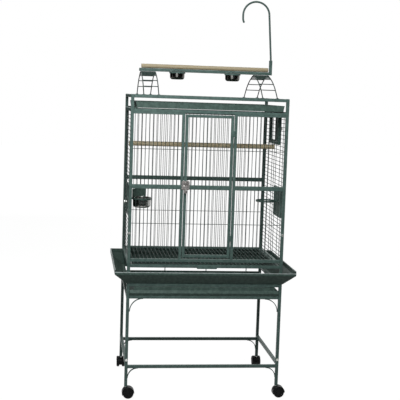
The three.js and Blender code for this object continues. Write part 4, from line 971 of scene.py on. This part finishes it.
def build_feeder_doors():
    leaf = leaf_of(FEEDER_WAY)
    y0, y1, half, steps = leaf[0] + 3, leaf[1] - 3, LEAF_BAR / 2, 40
    for name, side in SIDES:
        x, ring_x = side * POST_X, side * RING_X
        form, sheet = Form(), Form()
        leaf_frame(form, sheet, x, leaf, y1, FEEDER_PIVOT_Y, FEEDER_LATCH_Y, FEEDER_LATCH_Z)
        bar(form, "y", y0, y1, x - half, x + half, RING_LOW, RING_TOP, radius=1.4)
        flat_ring(form, RING_INNER, RING_OUTER, (ring_x, RING_Y, RING_LOW), 72)
        bar(form, "x", x, side * (RING_X + RING_OUTER - 1.4), RING_Y - 7, RING_Y + 7, RING_LOW,
            RING_TOP, radius=1.4)
        if side < 0:
            prism(sheet, "z", RING_TOP - 1, RING_TOP + GUARD_HEIGHT - 0.6,
                  sector((ring_x, RING_Y), 50.8, RING_OUTER, GUARD_START, GUARD_END, steps))
            turns = [radians(GUARD_START + (GUARD_END - GUARD_START) * i / steps)
                     for i in range(steps + 1)]
            sweep(sheet, [(ring_x + 51.2 * cos(a), RING_Y + 51.2 * sin(a),
                           RING_TOP + GUARD_HEIGHT - 1) for a in turns], 1.2, 8)
        body = f"feeder_leaf_{name}"
        make(form, body, FRAME, f"feeder_door_{name}", "frame")
        make(sheet, body, PLATE, f"feeder_door_{name}", "sheet", False)
        build_latch(f"feeder_latch_{name}", f"feeder_turn_{name}", side, FEEDER_LATCH_Y,
                    FEEDER_LATCH_Z, FEEDER_WAY["depth"])
    form = Form()
    pressed_bowl(form, BOWL_RADIUS, BOWL_DEPTH, (-RING_X, RING_Y, RING_TOP + FIT))
    make(form, "feeder_bowl", BOWL, "feeder_bowl_left", "pressed")


def build_nest_door():
    leaf = leaf_of(NEST_WAY)
    y0, y1, z0, z1 = leaf
    form, sheet, wires = Form(), Form(), Form()
    sheet_end = y0 + NEST_SHEET_SHARE * (y1 - y0)
    leaf_frame(form, sheet, POST_X, leaf, sheet_end, NEST_PIVOT_Y, NEST_LATCH_Y, NEST_LATCH_Z)
    for z in spread(z0 + LEAF_BAR, z1 - LEAF_BAR):
        wire(wires, (POST_X, sheet_end - 3, z), (POST_X, y1 - 4, z))
    make(form, "nest_leaf", FRAME, "nest_door", "frame")
    make(sheet, "nest_leaf", PLATE, "nest_door", "sheet", False)
    make(wires, "nest_leaf", WIRE, "nest_door", "wires", False)
    build_latch("nest_latch", "nest_turn", 1, NEST_LATCH_Y, NEST_LATCH_Z, PANEL)


# Perches and play top
def dowel(node, x0, x1, y, z, radius, coat):
    """A turned wooden perch, never quite round or straight, with eased ends."""
    form, rings = Form(), []
    steps, sides = 48, 32
    for i in range(steps + 1):
        share = i / steps
        ring = []
        for k in range(sides):
            angle = 2 * pi * k / sides
            ripple = 0.12 * sin(5 * pi * share + k * pi / 8)
            r = radius - 0.25 + ripple + 0.1 * sin(23 * share)
            ring.append((x0 + share * (x1 - x0), y + r * cos(angle), z + r * sin(angle)))
        rings.append(ring)
    for end, step in ((0, 1.4), (-1, -1.4)):
        x = (x0, x1)[end]
        small = [(x, y + 0.9 * (cy - y), z + 0.9 * (cz - z)) for _, cy, cz in rings[end]]
        rings[end] = [(x + step, cy, cz) for _, cy, cz in rings[end]]
        rings.insert(0 if end == 0 else len(rings), small)
    form.loft(rings)
    make(form, "cage", coat, node, "dowel", sharp=50)


ARCH_DEPTHS, ARCH_HEIGHTS = (0, 0.105, 0.206, 0.335, 0.5), (0, 0.353, 0.609, 0.832, 1)


def smooth_arch():
    """The side view of a ladder: points from its front foot over the top to its back foot."""
    half = list(zip(ARCH_DEPTHS, ARCH_HEIGHTS))
    shares = half + [(1 - d, h) for d, h in reversed(half[:-1])]
    foot, top = CAGE_TOP + FIT, BAR_LOW - LADDER_ROD - FIT
    points = [Vector(((2 * d - 1) * POST_Y, foot + h * (top - foot))) for d, h in shares]
    points = [2 * points[0] - points[1], *points, 2 * points[-1] - points[-2]]
    path = []
    for p0, p1, p2, p3 in zip(points, points[1:], points[2:], points[3:]):
        t0, t1, t2 = ((b - a).length ** 0.5 for a, b in ((p0, p1), (p1, p2), (p2, p3)))
        out = ((p1 - p0) / t0 - (p2 - p0) / (t0 + t1) + (p2 - p1) / t1) * t1
        into = ((p2 - p1) / t1 - (p3 - p1) / (t1 + t2) + (p3 - p2) / t2) * t1
        for i in range(6):
            t = i / 6
            path.append((2 * t ** 3 - 3 * t ** 2 + 1) * p1 + (t ** 3 - 2 * t ** 2 + t) * out
                        + (-2 * t ** 3 + 3 * t ** 2) * p2 + (t ** 3 - t ** 2) * into)
    path.append(points[-2])
    return path


def height_on(arch, y):
    after = next(i for i, p in enumerate(arch) if p.x > y)
    a, b = arch[after - 1], arch[after]
    return a.y + (y - a.x) * (b.y - a.y) / (b.x - a.x)


def build_ladders():
    arch, foot, rung = smooth_arch(), CAGE_TOP + FIT, 2.2
    low = ARCH_DEPTHS[1:4]
    rungs = [(2 * s - 1) * POST_Y for s in low] + [(1 - 2 * s) * POST_Y for s in low]
    rungs += [0.067 * POST_Y * k for k in range(-4, 5)]
    for name, side in SIDES:
        form = Form()
        x0, x1 = sorted((side * LADDER_INNER, side * LADDER_OUTER))
        for x in (x0, x1):
            sweep(form, [(x, p.x, p.y) for p in arch], LADDER_ROD, 12)
            for y in (-POST_Y, POST_Y):
                bar(form, "z", foot, foot + 2, x - HALF, x + HALF, y - 7.9, y + 7.9, radius=2,
                    chamfer=0.3)
                lathe(form, [(4.2, 0), (3.4, 1.2), (2.8, 3)], (x, y, foot + 1.6), "z", 16)
        for y in rungs:
            z = height_on(arch, y)
            rod(form, (x0, y, z), (x1, y, z), rung, 12)
            for x, way in ((x0, 1), (x1, -1)):
                rod(form, (x + way * 2, y, z), (x + way * 3.4, y, z), 2.9, 10, 0.5)
        make(form, "cage", WIRE, f"ladder_{name}", "bent")


def build_hook(socket_x, mouth):
    """A round rod that leans over, bends back down and ends in a small outward lip."""
    lean, rise, steps = 17, 232, 32
    bend_x, bend_z = socket_x - lean, mouth + rise
    path = [(socket_x, 0, BAR_TOP + 1), (socket_x, 0, mouth - 4)]
    path += [(socket_x - lean * t, 0, mouth + rise * t) for t in (0.03, 0.25, 0.5, 0.75)]
    for i in range(steps + 1):
        angle = pi * i / steps
        path.append((bend_x - HOOK_BEND * (1 - cos(angle)), 0,
                     bend_z + HOOK_BEND * sin(angle)))
    path += [(bend_x - 2 * HOOK_BEND + out, 0, bend_z - drop)
             for out, drop in ((0, 12), (0.5, 22), (2.4, 31), (5, 37.4))]
    form = Form()
    sweep(form, path, HOOK_ROD, 20, round_end=True)
    make(form, "hook", FRAME, "toy_hook", "bent")


def build_cups():
    high = BAR_LOW + 1
    low = high - RING_TALL
    for name, x in CUPS:
        form = Form()
        flat_ring(form, CUP_RING_INNER, CUP_RING_OUTER, (x, CUP_Y, low), 64)
        bar(form, "y", -18.8, -9, x - 6, x + 6, low, high, radius=1.2)
        bar(form, "y", -11.3, -8.3, x - 12, x + 12, low, BAR_TOP, radius=2, chamfer=0.4)
        for side in (-1, 1):
            lathe(form, [(0.6, -11), (3, -11), (3, -12.2), (2, -13.2), (0.6, -13.5)],
                  (x + side * 8, 0, BAR_TOP - 5), "y", 20)
        make(form, "cage", FRAME, f"cup_holder_{name}", "ring")
        form = Form()
        pressed_bowl(form, CUP_RADIUS, CUP_DEPTH, (x, CUP_Y, high + FIT))
        make(form, f"play_cup_{name}", CUP_PAINTED_DARK, f"cup_{name}", "pressed")


def build_play_top():
    for name, y in (("front", -POST_Y), ("back", POST_Y)):
        form = Form()
        tube(form, "x", -BAR_END, BAR_END, y, DECK + HALF)
        make(form, "cage", FRAME, f"deck_beam_{name}", "tube")
    build_ladders()
    form = Form()
    bar(form, "x", BAR_LEFT, BAR_RIGHT, -HALF, HALF, BAR_LOW, BAR_TOP)
    socket_x, top, bore = BAR_RIGHT - HALF, BAR_TOP + SOCKET_TALL, 5.9
    rings = []
    for z, inset in ((BAR_TOP - 1, 0), (top - 0.5, 0), (top, 0.5)):
        rings.append([(socket_x + u, v, z) for u, v in
                      rounded(TUBE - 2 * inset, TUBE - 2 * inset, 1.9 - inset, 7)])
    for z in (top, BAR_TOP + 4):
        rings.append([(socket_x + bore * cos(a), bore * sin(a), z)
                      for a in (radians(90 * k / 8 + 5.6) for k in range(32))])
    form.loft(rings)
    weld(form, "z", BAR_TOP, socket_x - HALF, socket_x + HALF, -HALF, HALF)
    make(form, "cage", FRAME, "perch_bar", "tube")
    dowel("top_perch", TOP_PERCH_LEFT, TOP_PERCH_RIGHT, 0, BAR_TOP + FIT + TOP_PERCH_RADIUS,
          TOP_PERCH_RADIUS, WOOD)
    # The inner perch's paler wood is painted light.
    dowel("inner_perch", -PERCH_END, PERCH_END, 0, PERCH_MIDDLE, PERCH_RADIUS, WOOD_PAINTED_LIT)
    build_hook(socket_x, top + 5.3)
    build_cups()


# Floor, lamps and background, in metres
LAMPS = (("key", (-0.5, -1.8, 2.4), 1.2, 34), ("fill", (-0.9, -3.6, 2.0), 1.8, 26),
         ("rim", (-1.4, 2.6, 2.9), 1.6, 30))
FLOOR = [(-14, -9, 0), (14, -9, 0), (14, 22, 0), (-14, 22, 0)]
CARD_FRONT = [(-7, -2.4, 0.01), (7, -2.4, 0.01), (7, -8, 0.01), (-7, -8, 0.01), (-7, -8, 5),
              (7, -8, 5), (-7, -0.6, 0.01), (-7, -0.6, 5), (7, -0.6, 0.01), (7, -0.6, 5)]
CARD_LEFT = [(-6, 0, 0.01), (-6, 0, 5), (-6, 7, 0.01), (-6, 7, 5), (-0.5, 7, 0.01), (-0.5, 7, 5)]


def whiter_for_camera(tree, plain, white, end):
    """Shows one shader to the camera and in gloss or glass, and another to everything else."""
    path = tree.nodes.new("ShaderNodeLightPath")
    seen = path.outputs["Is Camera Ray"]
    for name in ("Is Glossy Ray", "Is Transmission Ray"):
        seen = add(tree, "ShaderNodeMath", {0: seen, 1: path.outputs[name]}, operation="MAXIMUM")
    shown = add(tree, "ShaderNodeMixShader", {0: seen, 1: plain, 2: white})
    tree.links.new(shown, tree.nodes[end].inputs["Surface"])


def stage_material(name, grey, roughness):
    material = bpy.data.materials.new(name)
    material.use_nodes = True
    matt = material.node_tree.nodes["Principled BSDF"]
    fill(material.node_tree, matt, {"Base Color": rgb(*grey), "Roughness": roughness})
    return material, matt


def stage_piece(name, points, faces, material):
    mesh = bpy.data.meshes.new(name)
    mesh.from_pydata(points, [], faces)
    mesh.materials.append(material)
    piece = bpy.data.objects.new(name, mesh)
    bpy.context.scene.collection.objects.link(piece)
    return piece


def build_floor():
    """A pale floor that glows for the camera, so that only the shadow shows, and is dim else."""
    material, matt = stage_material("pale_floor", (0.3, 0.3, 0.29), 0.8)
    tree = material.node_tree
    dim = add(tree, "ShaderNodeBsdfDiffuse", {"Color": rgb(0.1, 0.1, 0.1)})
    glow = add(tree, "ShaderNodeEmission", {"Strength": 1.45})
    blend = add(tree, "ShaderNodeMixShader", {0: 0.66, 1: matt.outputs[0], 2: glow})
    whiter_for_camera(tree, dim, blend, "Material Output")
    stage_piece("floor", FLOOR, [(0, 1, 2, 3)], material)


def build_cards():
    """Dark cards for the unlit room behind the camera and far to the left, seen in gloss."""
    dark, _ = stage_material("dark_room", (0.05, 0.05, 0.05), 1.0)
    front = stage_piece("room_card_front", CARD_FRONT,
                        [(0, 1, 2, 3), (3, 2, 5, 4), (6, 3, 4, 7), (2, 8, 9, 5)], dark)
    left = stage_piece("room_card_left", CARD_LEFT, [(0, 1, 3, 2), (2, 3, 5, 4)], dark)
    front.visible_camera = left.visible_camera = False
    left.visible_diffuse = left.visible_shadow = False


def build_studio():
    scene = bpy.context.scene
    scene.view_settings.view_transform = "Standard"
    world = bpy.data.worlds.new("studio")
    scene.world = world
    world.use_nodes = True
    tree = world.node_tree
    plain = add(tree, "ShaderNodeBackground", {"Color": rgb(0.97, 0.985, 1.0), "Strength": 0.25})
    white = add(tree, "ShaderNodeBackground", {"Color": rgb(1, 1, 1), "Strength": 1.0})
    whiter_for_camera(tree, plain, white, "World Output")
    build_floor()
    build_cards()
    for name, place, size, power in LAMPS:
        data = bpy.data.lights.new(name, "AREA")
        data.size, data.energy = size, power
        data.color = (0.93, 0.98, 1.0)
        lamp = bpy.data.objects.new(name, data)
        lamp.location = place
        lamp.visible_camera = False
        aim = Vector((0, 0, 1.1)) - Vector(place)
        lamp.rotation_euler = aim.to_track_quat("-Z", "Y").to_euler()
        scene.collection.objects.link(lamp)


build_stand()
build_casters()
build_skirts()
build_bottom_tray()
build_top_tray()
build_grate()
build_side_wall("left", -1, [FEEDER_WAY])
build_side_wall("right", 1, [FEEDER_WAY, NEST_WAY])
build_front_wall()
build_back_wall()
build_roof()
build_door()
build_lock()
build_feeder_doors()
build_nest_door()
build_play_top()
build_studio()
